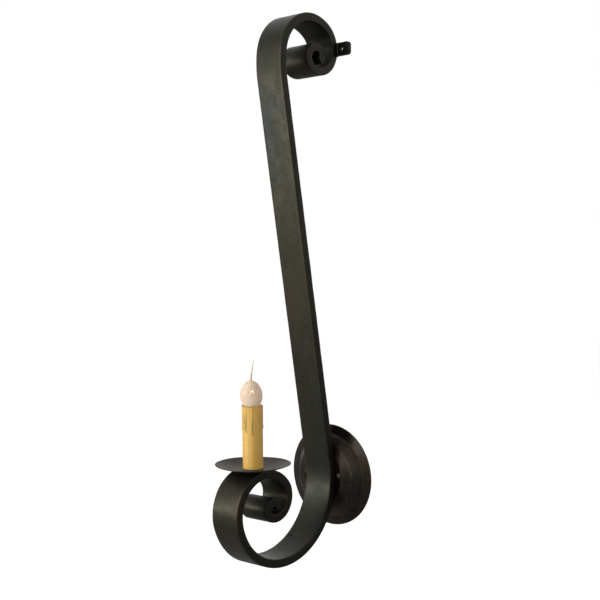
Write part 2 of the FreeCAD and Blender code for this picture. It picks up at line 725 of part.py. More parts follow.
def socket_body():
    whole = rod("socket_whole", "socket_radius", "socket_length", "0", ON_AXIS, SOCKET_FOOT)
    tools = [rod("socket_bore", "socket_bore", "socket_length", "0", ON_AXIS, SHELL_FOOT)]
    for side_name, x in (("left", "-flat_place - socket_radius"), ("right", "flat_place")):
        tools.append(box("socket_flat_" + side_name, "socket_radius", "2 * socket_radius", "2 * bracket_lap", x,
                         "candle_place - socket_radius", SOCKET_FOOT + " - bracket_lap"))
    depth = "rivet_reach + hole_spare"
    for side_name, x in (("left", "-flat_place"), ("right", "flat_place - (%s)" % depth)):
        tools.append(rod("socket_rivet_hole_" + side_name, "rivet_radius + thread_clearance", depth, x, ON_AXIS,
                         RIVET_LEVEL, SIDEWAYS))
    tools.append(rod("socket_contact_hole", "contact_rivet_radius + thread_clearance", depth,
                     "contact_side", ON_AXIS, SHELL_FOOT + " - (%s)" % depth))
    return cut("socket_body", whole, tools)


def socket_rivet(side_name, sign):
    outer = "(flat_place + bracket_sheet)"
    start = "-" + outer if sign else "flat_place - rivet_reach"
    shank = rod("socket_rivet_shank_" + side_name, "rivet_radius", "rivet_reach + bracket_sheet", start, ON_AXIS,
                RIVET_LEVEL, SIDEWAYS)
    head_start = "-%s - rivet_head" % outer if sign else outer
    head = rod("socket_rivet_head_" + side_name, "rivet_head_radius", "rivet_head", head_start, ON_AXIS,
               RIVET_LEVEL, SIDEWAYS)
    return fuse("socket_rivet_" + side_name, [shank, head])


def rolled_outline(inner, sheet_size, roll, length, outwards):
    """The outline of a thin tube with rolled threads, as (radius, height) corners down its outside, then up."""
    count = int(round((number(length) - 2 * number("thread_pitch")) / number("thread_pitch")))
    sign = "+" if outwards else "-"
    up = [(inner, "0")]
    for index in range(count):
        foot = "thread_pitch * %s" % (index + 1)
        up.append((inner, foot))
        up.append(("%s %s %s" % (inner, sign, roll), foot + " + thread_pitch / 2"))
    up.append((inner, "thread_pitch * %s" % (count + 1)))
    up.append((inner, length))
    down = [("%s + %s" % (radius, sheet_size), height) for radius, height in reversed(up)]
    return down + up


def socket_screw_shell():
    outline = rolled_outline("shell_bore", "shell_sheet", "shell_roll", "shell_length", True)
    return turned("socket_screw_shell", outline, y=ON_AXIS, z=SHELL_FOOT)


def socket_centre_contact():
    """A brass leaf: riveted flat beside the axis, then sprung up under the bulb's contact."""
    body = doc.addObject("PartDesign::Body", "contact_leaf")
    sketch = new_sketch(body, "contact_leaf_outline", "XZ_Plane")
    draw(sketch, [("contact_side + contact_lap", "0"), ("contact_side + contact_lap", "contact_sheet"),
                  ("contact_side - contact_lap", "contact_sheet"),
                  ("contact_tongue / 2", "contact_lift + contact_sheet"),
                  ("-contact_tongue / 2", "contact_lift + contact_sheet"),
                  ("-contact_tongue / 2", "contact_lift"),
                  ("contact_tongue / 2 - contact_sheet / 2", "contact_lift"),
                  ("contact_side - contact_lap - contact_sheet / 2", "0")])
    pad = body.newObject("PartDesign::Pad", "contact_leaf_pad")
    pad.Profile = sketch
    pad.SideType = "Symmetric"
    bind(pad, Length="contact_width")
    doc.recompute()
    place(body, "0", ON_AXIS, SHELL_FOOT)
    hole = rod("contact_leaf_hole", "contact_rivet_radius + thread_clearance", "3 * contact_sheet",
               "contact_side", ON_AXIS, SHELL_FOOT + " - contact_sheet")
    return cut("socket_centre_contact", body, [hole])


def contact_rivet():
    shank = rod("contact_rivet_shank", "contact_rivet_radius", "rivet_reach + contact_sheet",
                "contact_side", ON_AXIS, SHELL_FOOT + " - rivet_reach")
    head = rod("contact_rivet_head", "contact_rivet_head", "rivet_head", "contact_side", ON_AXIS,
               SHELL_FOOT + " + contact_sheet")
    return fuse("contact_rivet", [shank, head])


# ---------------------------------------------------------------- the candle sleeve

def candle_sleeve():
    """A tube with a rounded rim and beads of wax that ran down from the top and set."""
    pieces = [turned("sleeve_blank", [("0", "0"), ("sleeve_radius", "0"),
                                      ("sleeve_radius", "sleeve_length - sleeve_round"),
                                      ("sleeve_radius - sleeve_round", "sleeve_length"), ("0", "sleeve_length")],
                     y=ON_AXIS, z=SLEEVE_FOOT)]
    across = "(sleeve_radius - drip_sink)"
    for index, (angle, run) in enumerate(DRIPS):
        x = "%s * cos(%d deg)" % (across, angle)
        y = "candle_place + %s * sin(%d deg)" % (across, angle)
        low = "%s + sleeve_length - %d" % (SLEEVE_FOOT, run)
        pieces.append(rod("drip_run_%d" % index, "drip_run_radius", "%d - drip_start" % run, x, y, low))
        bead = primitive("Sphere", "drip_bead_%d" % index, Radius="drip_radius")
        pieces.append(place(bead, x, y, low))
    bore = rod("sleeve_bore", "sleeve_radius - sleeve_wall", "2 * sleeve_length", "0", ON_AXIS,
               SLEEVE_FOOT + " - sleeve_length / 2")
    return cut("candle_sleeve", fuse("sleeve_whole", pieces), [bore])


# ---------------------------------------------------------------- the bulb

def bulb_contact():
    return turned("bulb_contact", [("0", "0"), ("tip_radius / 2", "0"), ("tip_radius", "tip_height"),
                                   ("0", "tip_height")], y=ON_AXIS, z=TIP_FOOT)


def bulb_base_insulator():
    return turned("bulb_base_insulator", [("0", "0"), ("tip_radius + tip_land", "0"),
                                          ("cap_radius - cap_sheet", "insulator_length"),
                                          ("0", "insulator_length")], y=ON_AXIS, z=TIP_FOOT + " + tip_height")


def bulb_base_shell():
    return turned("bulb_base_shell", rolled_outline("cap_radius - cap_sheet", "cap_sheet", "cap_groove",
                                                    "cap_length", False), y=ON_AXIS, z=CAP_FOOT)


def globe_curve(offset, low):
    """The outline of the globe as one smooth line from the neck to the crown, tangent to the axis's square."""
    wide = size("globe_radius") + offset
    lower = size("globe_lower") + offset
    upper = size("globe_upper") + offset
    middle = size("globe_height")
    neck = size("neck_radius") + offset
    meet = math.sqrt(1.0 - (neck / wide) ** 2) * lower
    foot = FreeCAD.Vector(neck, 0, low)
    edges = []
    if low < middle - meet:
        edges.append(Part.makeLine(foot, FreeCAD.Vector(neck, 0, middle - meet)))
        below = meet
    else:
        below = middle - low
    edges.append(quarter(wide, lower, middle, -below))
    edges.append(quarter(wide, upper, middle, upper))
    return edges


CURVE_STEPS = 8


def quarter(wide, tall, middle, reach):
    """A smooth edge on an ellipse about the axis, between its widest place and a height away from it."""
    spots = []
    for step in range(CURVE_STEPS + 1):
        angle = math.asin(min(1.0, abs(reach) / tall)) * step / CURVE_STEPS
        rise = math.copysign(tall * math.sin(angle), reach)
        spots.append(FreeCAD.Vector(wide * math.cos(angle), 0, middle + rise))
    if reach < 0:
        spots.reverse()
    if abs(reach) == tall:
        spots[-1 if reach > 0 else 0].x = 0.0
    curve = Part.BSplineCurve()
    curve.interpolate(spots)
    return curve.toShape()


def globe_shell(name, outer, inner, low, spout):
    """A thin shell of revolution between two offsets of the globe's outline, open at its neck."""
    out_edges = globe_curve(outer, low)
    in_edges = globe_curve(inner, low)
    edges = list(out_edges)
    crown_out = size("globe_height") + size("globe_upper") + outer
    crown_in = size("globe_height") + size("globe_upper") + inner
    edges.append(Part.makeLine(FreeCAD.Vector(0, 0, crown_out), FreeCAD.Vector(0, 0, crown_in)))
    edges.extend(in_edges)
    edges.append(Part.makeLine(out_edges[0].Vertexes[0].Point, in_edges[0].Vertexes[0].Point))
    wire = Part.Wire(Part.__sortEdges__(edges))
    shell = Part.Face(wire).revolve(FreeCAD.Vector(0, 0, 0), FreeCAD.Vector(0, 0, 1), 360)
    if shell.Volume < 0:
        shell.reverse()
    if spout:
        sunk = size("coat_wall")
        cone = Part.makeCone(size("spout_radius"), size("spout_end_radius"), size("spout_length") + sunk,
                             FreeCAD.Vector(0, 0, crown_out - sunk))
        shell = shell.fuse(cone).removeSplitter()
    item = doc.addObject("Part::Feature", name)
    item.Shape = shell
    return place(item, y=ON_AXIS, z=CAP_TOP)


def bulb_glass():
    return globe_shell("bulb_glass", 0.0, -size("globe_wall"), -size("neck_sunk"), False)


def bulb_silicone_coat():
    gap = size("seal_gap")
    return globe_shell("bulb_silicone_coat", gap + size("coat_wall"), gap, size("coat_skirt"), True)


def bulb_stem():
    """A flared glass tube sealed into the neck, pinched where the lead wires leave it."""
    flare = "neck_radius - globe_wall - seal_gap"
    return turned("bulb_stem", [("0", "0"), (flare, "0"), (flare, "globe_wall"), ("stem_radius", "neck_sunk / 2"),
                                ("stem_radius", "stem_length - stem_radius"),
                                ("lead_spacing / 2 + stem_pinch", "stem_length"), ("0", "stem_length")],
                  y=ON_AXIS, z=CAP_TOP + " - neck_sunk")


def bulb_lead_wire(side_name, sign):
    return rod("bulb_lead_wire_" + side_name, "lead_radius", "lead_length", sign + "lead_spacing / 2", ON_AXIS,
               LEAD_FOOT)


def bulb_filament():
    """A half ring of fine wire that spans the tops of the two leads."""
    ring = primitive("Torus", "bulb_filament", Radius1="lead_spacing / 2", Radius2="filament_radius")
    ring.Angle3 = 180.0
    return place(ring, y=ON_AXIS, z=LEAD_FOOT + " + lead_length", up=OUT)


# ---------------------------------------------------------------- the whole sconce

def pair(name, make):
    return group(name, [make(side_name, sign) for side_name, sign in (("left", "-"), ("right", ""))])


def build_sconce():
    return {
        "scroll_bar": scroll_bar(),
        "top_wall_strap": top_wall_strap(),
        "wall_canopy": wall_canopy(),
        "canopy_crossbar": canopy_crossbar(),
        "canopy_screws": pair("canopy_screws", canopy_screw),
        "ground_screw": ground_screw(),
        "bar_bolts": pair("bar_bolts", bar_bolt),
        "bar_bolt_washers": pair("bar_bolt_washers", bar_bolt_washer),
        "drip_pan": drip_pan(),
        "threaded_nipple": threaded_nipple(),
        "nipple_washer": nipple_washer(),
        "nipple_locknut": nut("nipple_locknut", "nut_height", "under_level - washer_thickness - nut_height"),
        "pan_locknut": nut("pan_locknut", "pan_nut_height", FLOOR),
        "socket_bracket": socket_bracket(),
        "socket_body": socket_body(),
        "socket_screw_shell": socket_screw_shell(),
        "socket_centre_contact": socket_centre_contact(),
        "socket_rivets": pair("socket_rivets", socket_rivet),
        "contact_rivet": contact_rivet(),
        "candle_sleeve": candle_sleeve(),
        "bulb_contact": bulb_contact(),
        "bulb_base_insulator": bulb_base_insulator(),
        "bulb_base_shell": bulb_base_shell(),
        "bulb_glass": bulb_glass(),
        "bulb_silicone_coat": bulb_silicone_coat(),
        "bulb_stem": bulb_stem(),
        "bulb_lead_wires": pair("bulb_lead_wires", bulb_lead_wire),
        "bulb_filament": bulb_filament(),
    }


sconce = build_sconce()
doc.recompute()
for item in doc.Objects:
    if "Invalid" in item.State or "Error" in item.State:
        raise RuntimeError("%s did not build: %s" % (item.Label, item.State))
os.makedirs("parts", exist_ok=True)
for node, item in sconce.items():
    item.Label = node
    if item.Shape.isNull() or not item.Shape.isValid():
        raise RuntimeError("%s has no valid shape" % node)
    item.Shape.exportStep("parts/%s.step" % node)
    print("%-24s %2d solids %12.1f mm3" % (node, len(item.Shape.Solids), item.Shape.Volume))
print("bar lean %.2f degrees, candle at y %.2f, seat at z %.2f, strap at z %.2f"
      % (math.degrees(bar_lean), size("candle_place"), size("seat_level"), size("strap_level")))
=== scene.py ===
import math
import bmesh
import bpy
import numpy as np
from mathutils import Matrix, Vector


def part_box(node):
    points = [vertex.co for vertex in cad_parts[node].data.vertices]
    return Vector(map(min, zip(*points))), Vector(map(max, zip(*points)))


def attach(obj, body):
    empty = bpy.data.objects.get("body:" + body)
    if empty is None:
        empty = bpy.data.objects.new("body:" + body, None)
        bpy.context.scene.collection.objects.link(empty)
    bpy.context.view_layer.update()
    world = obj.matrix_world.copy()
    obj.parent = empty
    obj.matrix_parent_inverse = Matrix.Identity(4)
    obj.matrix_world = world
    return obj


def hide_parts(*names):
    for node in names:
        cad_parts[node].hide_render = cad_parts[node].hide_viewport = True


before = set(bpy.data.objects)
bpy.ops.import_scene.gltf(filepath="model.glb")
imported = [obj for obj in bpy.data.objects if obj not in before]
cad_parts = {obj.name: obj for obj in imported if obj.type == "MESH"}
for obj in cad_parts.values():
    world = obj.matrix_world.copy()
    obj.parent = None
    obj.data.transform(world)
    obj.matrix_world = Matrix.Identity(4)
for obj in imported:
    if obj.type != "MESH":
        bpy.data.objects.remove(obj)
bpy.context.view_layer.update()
mm = 0.001
print("frame loaded with", len(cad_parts), "nodes")


# ---- surfaces: a grid of points becomes a mesh

def gridFaces(rows, columns, closedRows=False):
    # quads between neighbours of a grid whose columns run right round, and whose rows do where it is closed
    down = np.arange(rows if closedRows else rows - 1)[:, None]
    across = np.arange(columns)[None, :]
    nextDown = (down + 1) % rows
    nextAcross = (across + 1) % columns
    corners = [down * columns + across, down * columns + nextAcross,
               nextDown * columns + nextAcross, nextDown * columns + across]
    return np.stack(corners, axis=-1).reshape(-1, 4)


def makePiece(name, points, material, body, replaced, sharpAngle, closedRows=False, capped=False, shades=None):
    # shades are values for each point of the grid, which the materials read by name
    rows, columns = points.shape[:2]
    faces = gridFaces(rows, columns, closedRows).tolist()
    if capped:
        faces.append(list(range(columns)))
        faces.append(list(range((rows - 1) * columns, rows * columns)))
    mesh = bpy.data.meshes.new(name)
    mesh.from_pydata(points.reshape(-1, 3).tolist(), [], faces)
    for shadeName, values in (shades or {}).items():
        shade = mesh.attributes.new(shadeName, "FLOAT", "POINT")
        shade.data.foreach_set("value", np.ascontiguousarray(values, np.float32).ravel())
    return dressPiece(mesh, name, material, body, replaced, sharpAngle)


def dressPiece(mesh, name, material, body, replaced, sharpAngle):
    cleaned = bmesh.new()
    cleaned.from_mesh(mesh)
    bmesh.ops.remove_doubles(cleaned, verts=cleaned.verts, dist=1e-7)
    bmesh.ops.recalc_face_normals(cleaned, faces=cleaned.faces)
    cleaned.to_mesh(mesh)
    cleaned.free()
    mesh.shade_smooth()
    mesh.set_sharp_from_angle(angle=math.radians(sharpAngle))
    piece = bpy.data.objects.new(name, mesh)
    bpy.context.scene.collection.objects.link(piece)
    piece.data.materials.append(material)
    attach(piece, body)
    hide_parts(*replaced)
    return piece


def softened(corners, steps):
    # a closed outline from (across, up, radius) corners: each corner becomes an arc that touches both its sides
    spots = np.array([corner[:2] for corner in corners], float)
    outline = []
    for index, corner in enumerate(corners):
        here = spots[index]
        back = spots[index - 1] - here
        ahead = spots[(index + 1) % len(spots)] - here
        radius = corner[2]
        if radius <= 0:
            outline.append(here[None, :])
            continue
        back /= np.linalg.norm(back)
        ahead /= np.linalg.norm(ahead)
        halfAngle = math.acos(np.clip(back @ ahead, -1, 1)) / 2
        middle = (back + ahead) / np.linalg.norm(back + ahead)
        centre = here + middle * radius / math.sin(halfAngle)
        first = here + back * radius / math.tan(halfAngle) - centre
        last = here + ahead * radius / math.tan(halfAngle) - centre
        start = math.atan2(first[1], first[0])
        turn = (math.atan2(last[1], last[0]) - start + math.pi) % (2 * math.pi) - math.pi
        angles = start + turn * np.linspace(0, 1, steps)
        outline.append(centre + radius * np.stack([np.cos(angles), np.sin(angles)], axis=-1))
    return np.concatenate(outline)


def roundedBox(halfAcross, halfUp, corner, steps, level=0.0):
    # the outline of a rectangle with round corners, whose middle lies at the level
    return softened([(across * halfAcross, level + up * halfUp, corner)
                     for across, up in ((-1, -1), (1, -1), (1, 1), (-1, 1))], steps)


def denser(outline, spacing, closed=True):
    # the same outline with its long sides divided, so that no side is longer than the spacing
    starts, ends = outline, np.roll(outline, -1, axis=0)
    if not closed:
        starts, ends = outline[:-1], outline[1:]
    counts = np.maximum(1, np.ceil(np.linalg.norm(ends - starts, axis=1) / spacing)).astype(int)
    parts = [start + (end - start) * np.linspace(0, 1, count, endpoint=False)[:, None]
             for start, end, count in zip(starts, ends, counts)]
    return np.concatenate(parts if closed else parts + [outline[-1:]])


def ring(count):
    return np.linspace(0, 2 * math.pi, count, endpoint=False)


def lathed(outline, count, place, outward=False):
    # each (radius, height) of the outline is carried once round the axis: upright, or out of the wall
    angles = ring(count)[None, :]
    radius = outline[:, 0][:, None]
    height = outline[:, 1][:, None] * np.ones_like(angles)
    across = radius * np.cos(angles)
    other = radius * np.sin(angles)
    spin = (across, -height, other) if outward else (across, other, height)
    return np.stack(spin, axis=-1) + np.array(place)


def waves(count, seed, low, high):
    # a few sine waves of random length and direction, which add up to gentle unevenness
    chance = np.random.default_rng(seed)
    return [(chance.uniform(low, high), chance.uniform(low, high), chance.uniform(0, 6.28)) for _ in range(count)]


def uneven(first, second, terms):
    return sum(np.sin(first * a + second * b + c) for a, b, c in terms) / len(terms)


def carve(piece, cutters, walls=None):
    # cuts holes through a piece with round rods (centre, direction, radius, length), whose walls may be left bare
    tool = bmesh.new()
    for centre, direction, radius, length in cutters:
        turn = Vector(direction).to_track_quat("Z", "Y").to_matrix().to_4x4()
        bmesh.ops.create_cone(tool, cap_ends=True, segments=40, radius1=radius, radius2=radius, depth=length,
                              matrix=Matrix.Translation(centre) @ turn)
    mesh = bpy.data.meshes.new(piece.name + "Holes")
    tool.to_mesh(mesh)
    tool.free()
    holes = bpy.data.objects.new(piece.name + "Holes", mesh)
    bpy.context.scene.collection.objects.link(holes)
    mesh.materials.append(walls or piece.data.materials[0])
    cutting = piece.modifiers.new("holes", "BOOLEAN")
    cutting.operation = "DIFFERENCE"
    cutting.solver = "EXACT"
    cutting.material_mode = "TRANSFER"
    cutting.object = holes
    shaped = piece.evaluated_get(bpy.context.evaluated_depsgraph_get())
    finished = bpy.data.meshes.new_from_object(shaped)
    piece.modifiers.clear()
    piece.data = finished
    bpy.data.objects.remove(holes)
    finished.set_sharp_from_angle(angle=math.radians(40))
    return piece


# ---- materials

def newMaterial(name):
    material = bpy.data.materials.new(name)
    material.use_nodes = True
    tree = material.node_tree
    return material, tree, tree.nodes["Principled BSDF"]


def addNode(tree, kind, values=None, **settings):
    made = tree.nodes.new(kind)
    for key, value in settings.items():
        setattr(made, key, value)
    for socket, value in (values or {}).items():
        made.inputs[socket].default_value = value
    return made


def objectNoise(tree, scale, detail=5.0, roughness=0.6, stretch=(1, 1, 1)):
    # noise on Object coordinates, in features per metre, drawn out along an axis by the stretch
    place = addNode(tree, "ShaderNodeTexCoord")
    mapping = addNode(tree, "ShaderNodeMapping", {"Scale": stretch})
    noise = addNode(tree, "ShaderNodeTexNoise", {"Scale": scale, "Detail": detail, "Roughness": roughness})
    tree.links.new(place.outputs["Object"], mapping.inputs["Vector"])
    tree.links.new(mapping.outputs["Vector"], noise.inputs["Vector"])
    return noise.outputs["Fac"]


def spread(tree, value, low, high, toLow=0.0, toHigh=1.0):
    span = addNode(tree, "ShaderNodeMapRange", {"From Min": low, "From Max": high, "To Min": toLow, "To Max": toHigh})
    tree.links.new(value, span.inputs["Value"])
    return span.outputs["Result"]


def mixTones(tree, share, first, second):
    mix = addNode(tree, "ShaderNodeMix", data_type="RGBA")
    for socket, tone in ((6, first), (7, second)):
        if isinstance(tone, bpy.types.NodeSocket):
            tree.links.new(tone, mix.inputs[socket])
        else:
            mix.inputs[socket].default_value = (*tone, 1.0)
    tree.links.new(share, mix.inputs[0])
    return mix.outputs[2]


def bumpFrom(tree, shader, height, depth, strength):
    bump = addNode(tree, "ShaderNodeBump", {"Strength": strength, "Distance": depth})
    tree.links.new(height, bump.inputs["Height"])
    tree.links.new(bump.outputs["Normal"], shader.inputs["Normal"])


def forgedPaint(name, dark, warm, cool, shine, worn=(0.040, 0.028, 0.020), grain=1.0, sheen=0.85):
    # satin paint over iron: brown and greenish patches, a fine skin of grit, and edges rubbed to brown
    material, tree, shader = newMaterial(name)
    patches = spread(tree, objectNoise(tree, 21, 4.0, 0.6, (1, 1, 0.45)), 0.42, 0.66)
    chill = spread(tree, objectNoise(tree, 13, 3.0, 0.5, (1.3, 1, 0.35)), 0.52, 0.70, 0.0, 0.8)
    tone = mixTones(tree, chill, mixTones(tree, patches, dark, warm), cool)
    flecks = spread(tree, objectNoise(tree, 260, 6.0, 0.7), 0.45, 0.72, 0.0, 0.3)
    tone = mixTones(tree, flecks, tone, tuple(1.8 * part for part in warm))
    edge = addNode(tree, "ShaderNodeAttribute", attribute_name="edge")
    rubbed = addNode(tree, "ShaderNodeMath", operation="MULTIPLY")
    tree.links.new(edge.outputs["Fac"], rubbed.inputs[0])
    tree.links.new(spread(tree, objectNoise(tree, 55, 5.0), 0.42, 0.62, 0.05, 0.9), rubbed.inputs[1])
    tone = mixTones(tree, rubbed.outputs["Value"], tone, worn)
    tree.links.new(tone, shader.inputs["Base Color"])
    tree.links.new(spread(tree, objectNoise(tree, 60, 6.0, 0.65), 0.3, 0.7, shine, shine + 0.12),
                   shader.inputs["Roughness"])
    shader.inputs["Metallic"].default_value = sheen
    shader.inputs["Specular IOR Level"].default_value = 0.12
    bumpFrom(tree, shader, objectNoise(tree, 700, 8.0, 0.7), 0.00009 * grain, 0.5)
    return material


def plainMetal(name, tone, second, roughness, scale=140, stretch=(1, 1, 1)):
    # bare or plated metal: two close tones, uneven shine and a fine grain
    material, tree, shader = newMaterial(name)
    shader.inputs["Metallic"].default_value = 1.0
    cloud = objectNoise(tree, scale, 6.0, 0.65, stretch)
    tree.links.new(mixTones(tree, spread(tree, cloud, 0.35, 0.65), tone, second), shader.inputs["Base Color"])
    tree.links.new(spread(tree, objectNoise(tree, scale * 2.3, 5.0, 0.6, stretch), 0.3, 0.7,
                          roughness - 0.07, roughness + 0.12), shader.inputs["Roughness"])
    bumpFrom(tree, shader, objectNoise(tree, scale * 9, 5.0, 0.7, stretch), 0.00003, 0.5)
    return material


def mouldedBlack():
    material, tree, shader = newMaterial("mouldedBlack")
    specks = spread(tree, objectNoise(tree, 900, 4.0, 0.7), 0.55, 0.75)
    tree.links.new(mixTones(tree, specks, (0.018, 0.013, 0.010), (0.055, 0.035, 0.022)), shader.inputs["Base Color"])
    tree.links.new(spread(tree, objectNoise(tree, 120), 0.3, 0.7, 0.28, 0.42), shader.inputs["Roughness"])
    bumpFrom(tree, shader, objectNoise(tree, 500, 4.0), 0.00003, 0.4)
    return material


def waxFinish():
    # honey-coloured wax: soft upright streaks, olive where the runs are thick, painted shade on the runs' flanks and
    # down the bore, brown at the rim, and a painted glow
    material, tree, shader = newMaterial("waxFinish")
    streaks = spread(tree, objectNoise(tree, 130, 5.0, 0.6, (1, 1, 0.06)), 0.36, 0.66)
    blotches = spread(tree, objectNoise(tree, 70, 4.0, 0.6, (1, 1, 0.5)), 0.40, 0.70, 0.0, 0.45)
    tone = mixTones(tree, streaks, (0.37, 0.220, 0.034), (0.46, 0.295, 0.064))
    tone = mixTones(tree, blotches, tone, (0.41, 0.235, 0.052))
    # the runs' flanks get painted shade; the rim mark is brown at the mouth and painted shade down the bore
    marks = {"runFlankShade": (0.55, (0.22, 0.125, 0.020)), "stain": (0.95, (0.105, 0.062, 0.003)),
             "rim": (1.0, (0.060, 0.026, 0.003))}
    for shadeName, (share, shadeTone) in marks.items():
        shade = addNode(tree, "ShaderNodeAttribute", attribute_name=shadeName)
        tone = mixTones(tree, spread(tree, shade.outputs["Fac"], 0, 1, 0.0, share), tone, shadeTone)
    tree.links.new(tone, shader.inputs["Base Color"])
    tree.links.new(spread(tree, objectNoise(tree, 240, 5.0), 0.3, 0.7, 0.30, 0.44), shader.inputs["Roughness"])
    shader.inputs["Subsurface Weight"].default_value = 0.5
    shader.inputs["Subsurface Radius"].default_value = (0.9, 0.45, 0.15)
    shader.inputs["Subsurface Scale"].default_value = 0.006
    # painted glow: the wax gives off light of its own, which lifts its shaded side
    shader.inputs["Emission Color"].default_value = (1.0, 0.62, 0.16, 1.0)      # painted glow of the wax itself
    shader.inputs["Emission Strength"].default_value = 0.19
    shader.inputs["Specular IOR Level"].default_value = 0.5
    bumpFrom(tree, shader, objectNoise(tree, 320, 5.0, 0.6, (1, 1, 0.15)), 0.00006, 0.5)
    return material


def milkyCoat():
    # cloudy silicone over the lamp: it scatters most light and lets the filament's glow through
    material, tree, shader = newMaterial("milkyCoat")
    cloud = spread(tree, objectNoise(tree, 95, 5.0, 0.6), 0.35, 0.68)
    tree.links.new(mixTones(tree, cloud, (0.58, 0.475, 0.375), (0.65, 0.58, 0.49)), shader.inputs["Base Color"])
    tree.links.new(spread(tree, objectNoise(tree, 150, 4.0), 0.3, 0.7, 0.12, 0.22), shader.inputs["Roughness"])
    shader.inputs["Transmission Weight"].default_value = 0.40
    shader.inputs["IOR"].default_value = 1.12
    shader.inputs["Emission Color"].default_value = (1.0, 0.76, 0.55, 1.0)
    shader.inputs["Emission Strength"].default_value = 0.18
    bumpFrom(tree, shader, objectNoise(tree, 210, 3.0), 0.00005, 0.4)
    return material


def clearGlass(name, tint, scratch):
    material, tree, shader = newMaterial(name)
    shader.inputs["Transmission Weight"].default_value = 1.0
    shader.inputs["IOR"].default_value = 1.5
    haze = objectNoise(tree, 180, 4.0)
    tree.links.new(mixTones(tree, haze, tint, tuple(min(1.0, part * 1.03) for part in tint)),
                   shader.inputs["Base Color"])
    tree.links.new(spread(tree, haze, 0.3, 0.7, 0.0, scratch), shader.inputs["Roughness"])
    return material


def blackGlass():
    material, tree, shader = newMaterial("blackGlass")
    swirl = spread(tree, objectNoise(tree, 420, 3.0), 0.35, 0.7)
    tree.links.new(mixTones(tree, swirl, (0.010, 0.008, 0.010), (0.035, 0.028, 0.034)), shader.inputs["Base Color"])
    tree.links.new(spread(tree, swirl, 0, 1, 0.10, 0.22), shader.inputs["Roughness"])
    return material


def glowingWire():
    material, tree, shader = newMaterial("glowingWire")
    heat = spread(tree, objectNoise(tree, 400, 2.0), 0.3, 0.7)
    tree.links.new(mixTones(tree, heat, (1.0, 0.62, 0.28), (1.0, 0.74, 0.42)), shader.inputs["Emission Color"])
    shader.inputs["Base Color"].default_value = (0.3, 0.2, 0.12, 1.0)
    shader.inputs["Emission Strength"].default_value = 90.0
    shader.inputs["Roughness"].default_value = 0.6
    return material


barPaint = forgedPaint("barPaint", (0.0176, 0.0180, 0.0132), (0.0254, 0.0220, 0.0156), (0.0152, 0.0189, 0.0180),
                       0.38)
canopyPaint = forgedPaint("canopyPaint", (0.0165, 0.0150, 0.0125), (0.0350, 0.0255, 0.0205),
                          (0.0190, 0.0190, 0.0165), 0.30)
panPaint = forgedPaint("panPaint", (0.022, 0.018, 0.013), (0.048, 0.038, 0.026), (0.029, 0.030, 0.023), 0.42,
                       (0.085, 0.070, 0.055), 1.6, 0.3)
screwPaint = forgedPaint("screwPaint", (0.018, 0.017, 0.015), (0.040, 0.034, 0.028), (0.03, 0.03, 0.03), 0.28,
                         (0.10, 0.085, 0.07))
bareIron = plainMetal("bareIron", (0.36, 0.35, 0.32), (0.24, 0.22, 0.20), 0.35, 400)
zinc = plainMetal("zinc", (0.62, 0.61, 0.56), (0.50, 0.50, 0.48), 0.34)
drawnBrass = plainMetal("drawnBrass", (0.72, 0.53, 0.25), (0.60, 0.42, 0.18), 0.30, 170, (1, 1, 0.2))
nickel = plainMetal("nickel", (0.58, 0.55, 0.50), (0.46, 0.44, 0.41), 0.30, 300)
solder = plainMetal("solder", (0.60, 0.60, 0.60), (0.42, 0.42, 0.43), 0.38, 500)
greenPlate = plainMetal("greenPlate", (0.04, 0.30, 0.12), (0.08, 0.40, 0.17), 0.36, 220)
wax = waxFinish()
coat = milkyCoat()
bulbGlass = clearGlass("bulbGlass", (0.97, 0.97, 0.95), 0.03)
stemGlass = clearGlass("stemGlass", (0.93, 0.96, 0.94), 0.06)
print("materials made")


# ---- the forged bar: a flat profile carried along its scrolled centre line

scrollBar = {
    "width": 40.0 * mm,
    "thickness": 10.0 * mm,
    "edgeRound": 0.8 * mm,
    "straight": 474.0 * mm,
    "standsOff": 16.5 * mm,         # back face to wall, where the canopy carries it
    "strapFace": 4.8 * mm,          # back face to wall, where the strap carries it
    "seatDepth": 0.5 * mm,          # how deep each flat seat is pressed into the bar
    "foot": [(88.0, 122.0), (70.6, 50.3), (44.7, 156.1), (23.2, 149.5), (9.2, 200.0), (5.8, 78.0)],
    "top": [(107.0, 17.8), (51.7, 116.0), (29.5, 162.3), (13.9, 190.0), (7.8, 130.0)],
    "spacing": 1.6 * mm,            # between sections on the arcs, and half of that on the straight
    "sideSpacing": 3.2 * mm,        # between the points of a section
    "faceWaver": 0.10 * mm,
    "faceFade": 6.0 * mm,
    "edgeWaver": 0.22 * mm,
    "edgeFade": 3.0 * mm,
    "tipRound": 1.2 * mm,
    "tipNarrows": (0.03, 0.25),     # shares of the width and the thickness lost at each tip
    "rubbedEdge": 1.9 * mm,
    "canopySeat": 40.0 * mm,        # how far from its middle each seat may reach
    "strapSeat": 30.0 * mm,
    "panSeat": 13.0 * mm,
    "panSeatRise": 2.0 * mm,        # the bar is pressed flat only up to this far over the pan's underside
    "nippleHole": 5.25 * mm,
    "holeRadius": 2.0 * mm,
    "holeSide": 13.0 * mm,
    "holeTurn": 58.0,
}


def toward(angle):
    return np.array([math.cos(angle), math.sin(angle)])


def scrollTurns(start, heading, turns):
    # clockwise arcs one after the other: every point of an arc is its centre plus its radius along its angle
    points, normals = [], []
    for radius, degrees in turns:
        radius = radius * mm
        first = heading + math.pi / 2
        turn = math.radians(degrees)
        centre = start - radius * toward(first)
        steps = max(6, int(radius * turn / scrollBar["spacing"]))
        angles = first - turn * np.linspace(0, 1, steps, endpoint=False)
        away = np.stack([np.cos(angles), np.sin(angles)], axis=-1)
        points.append(centre + radius * away)
        normals.append(away)
        heading -= turn
        start = centre + radius * toward(first - turn)
    points.append(start[None, :])
    normals.append(toward(heading + math.pi / 2)[None, :])
    return np.concatenate(points), np.concatenate(normals)


def footCentre():
    return -scrollBar["standsOff"] - scrollBar["thickness"] / 2 - scrollBar["foot"][0][0] * mm


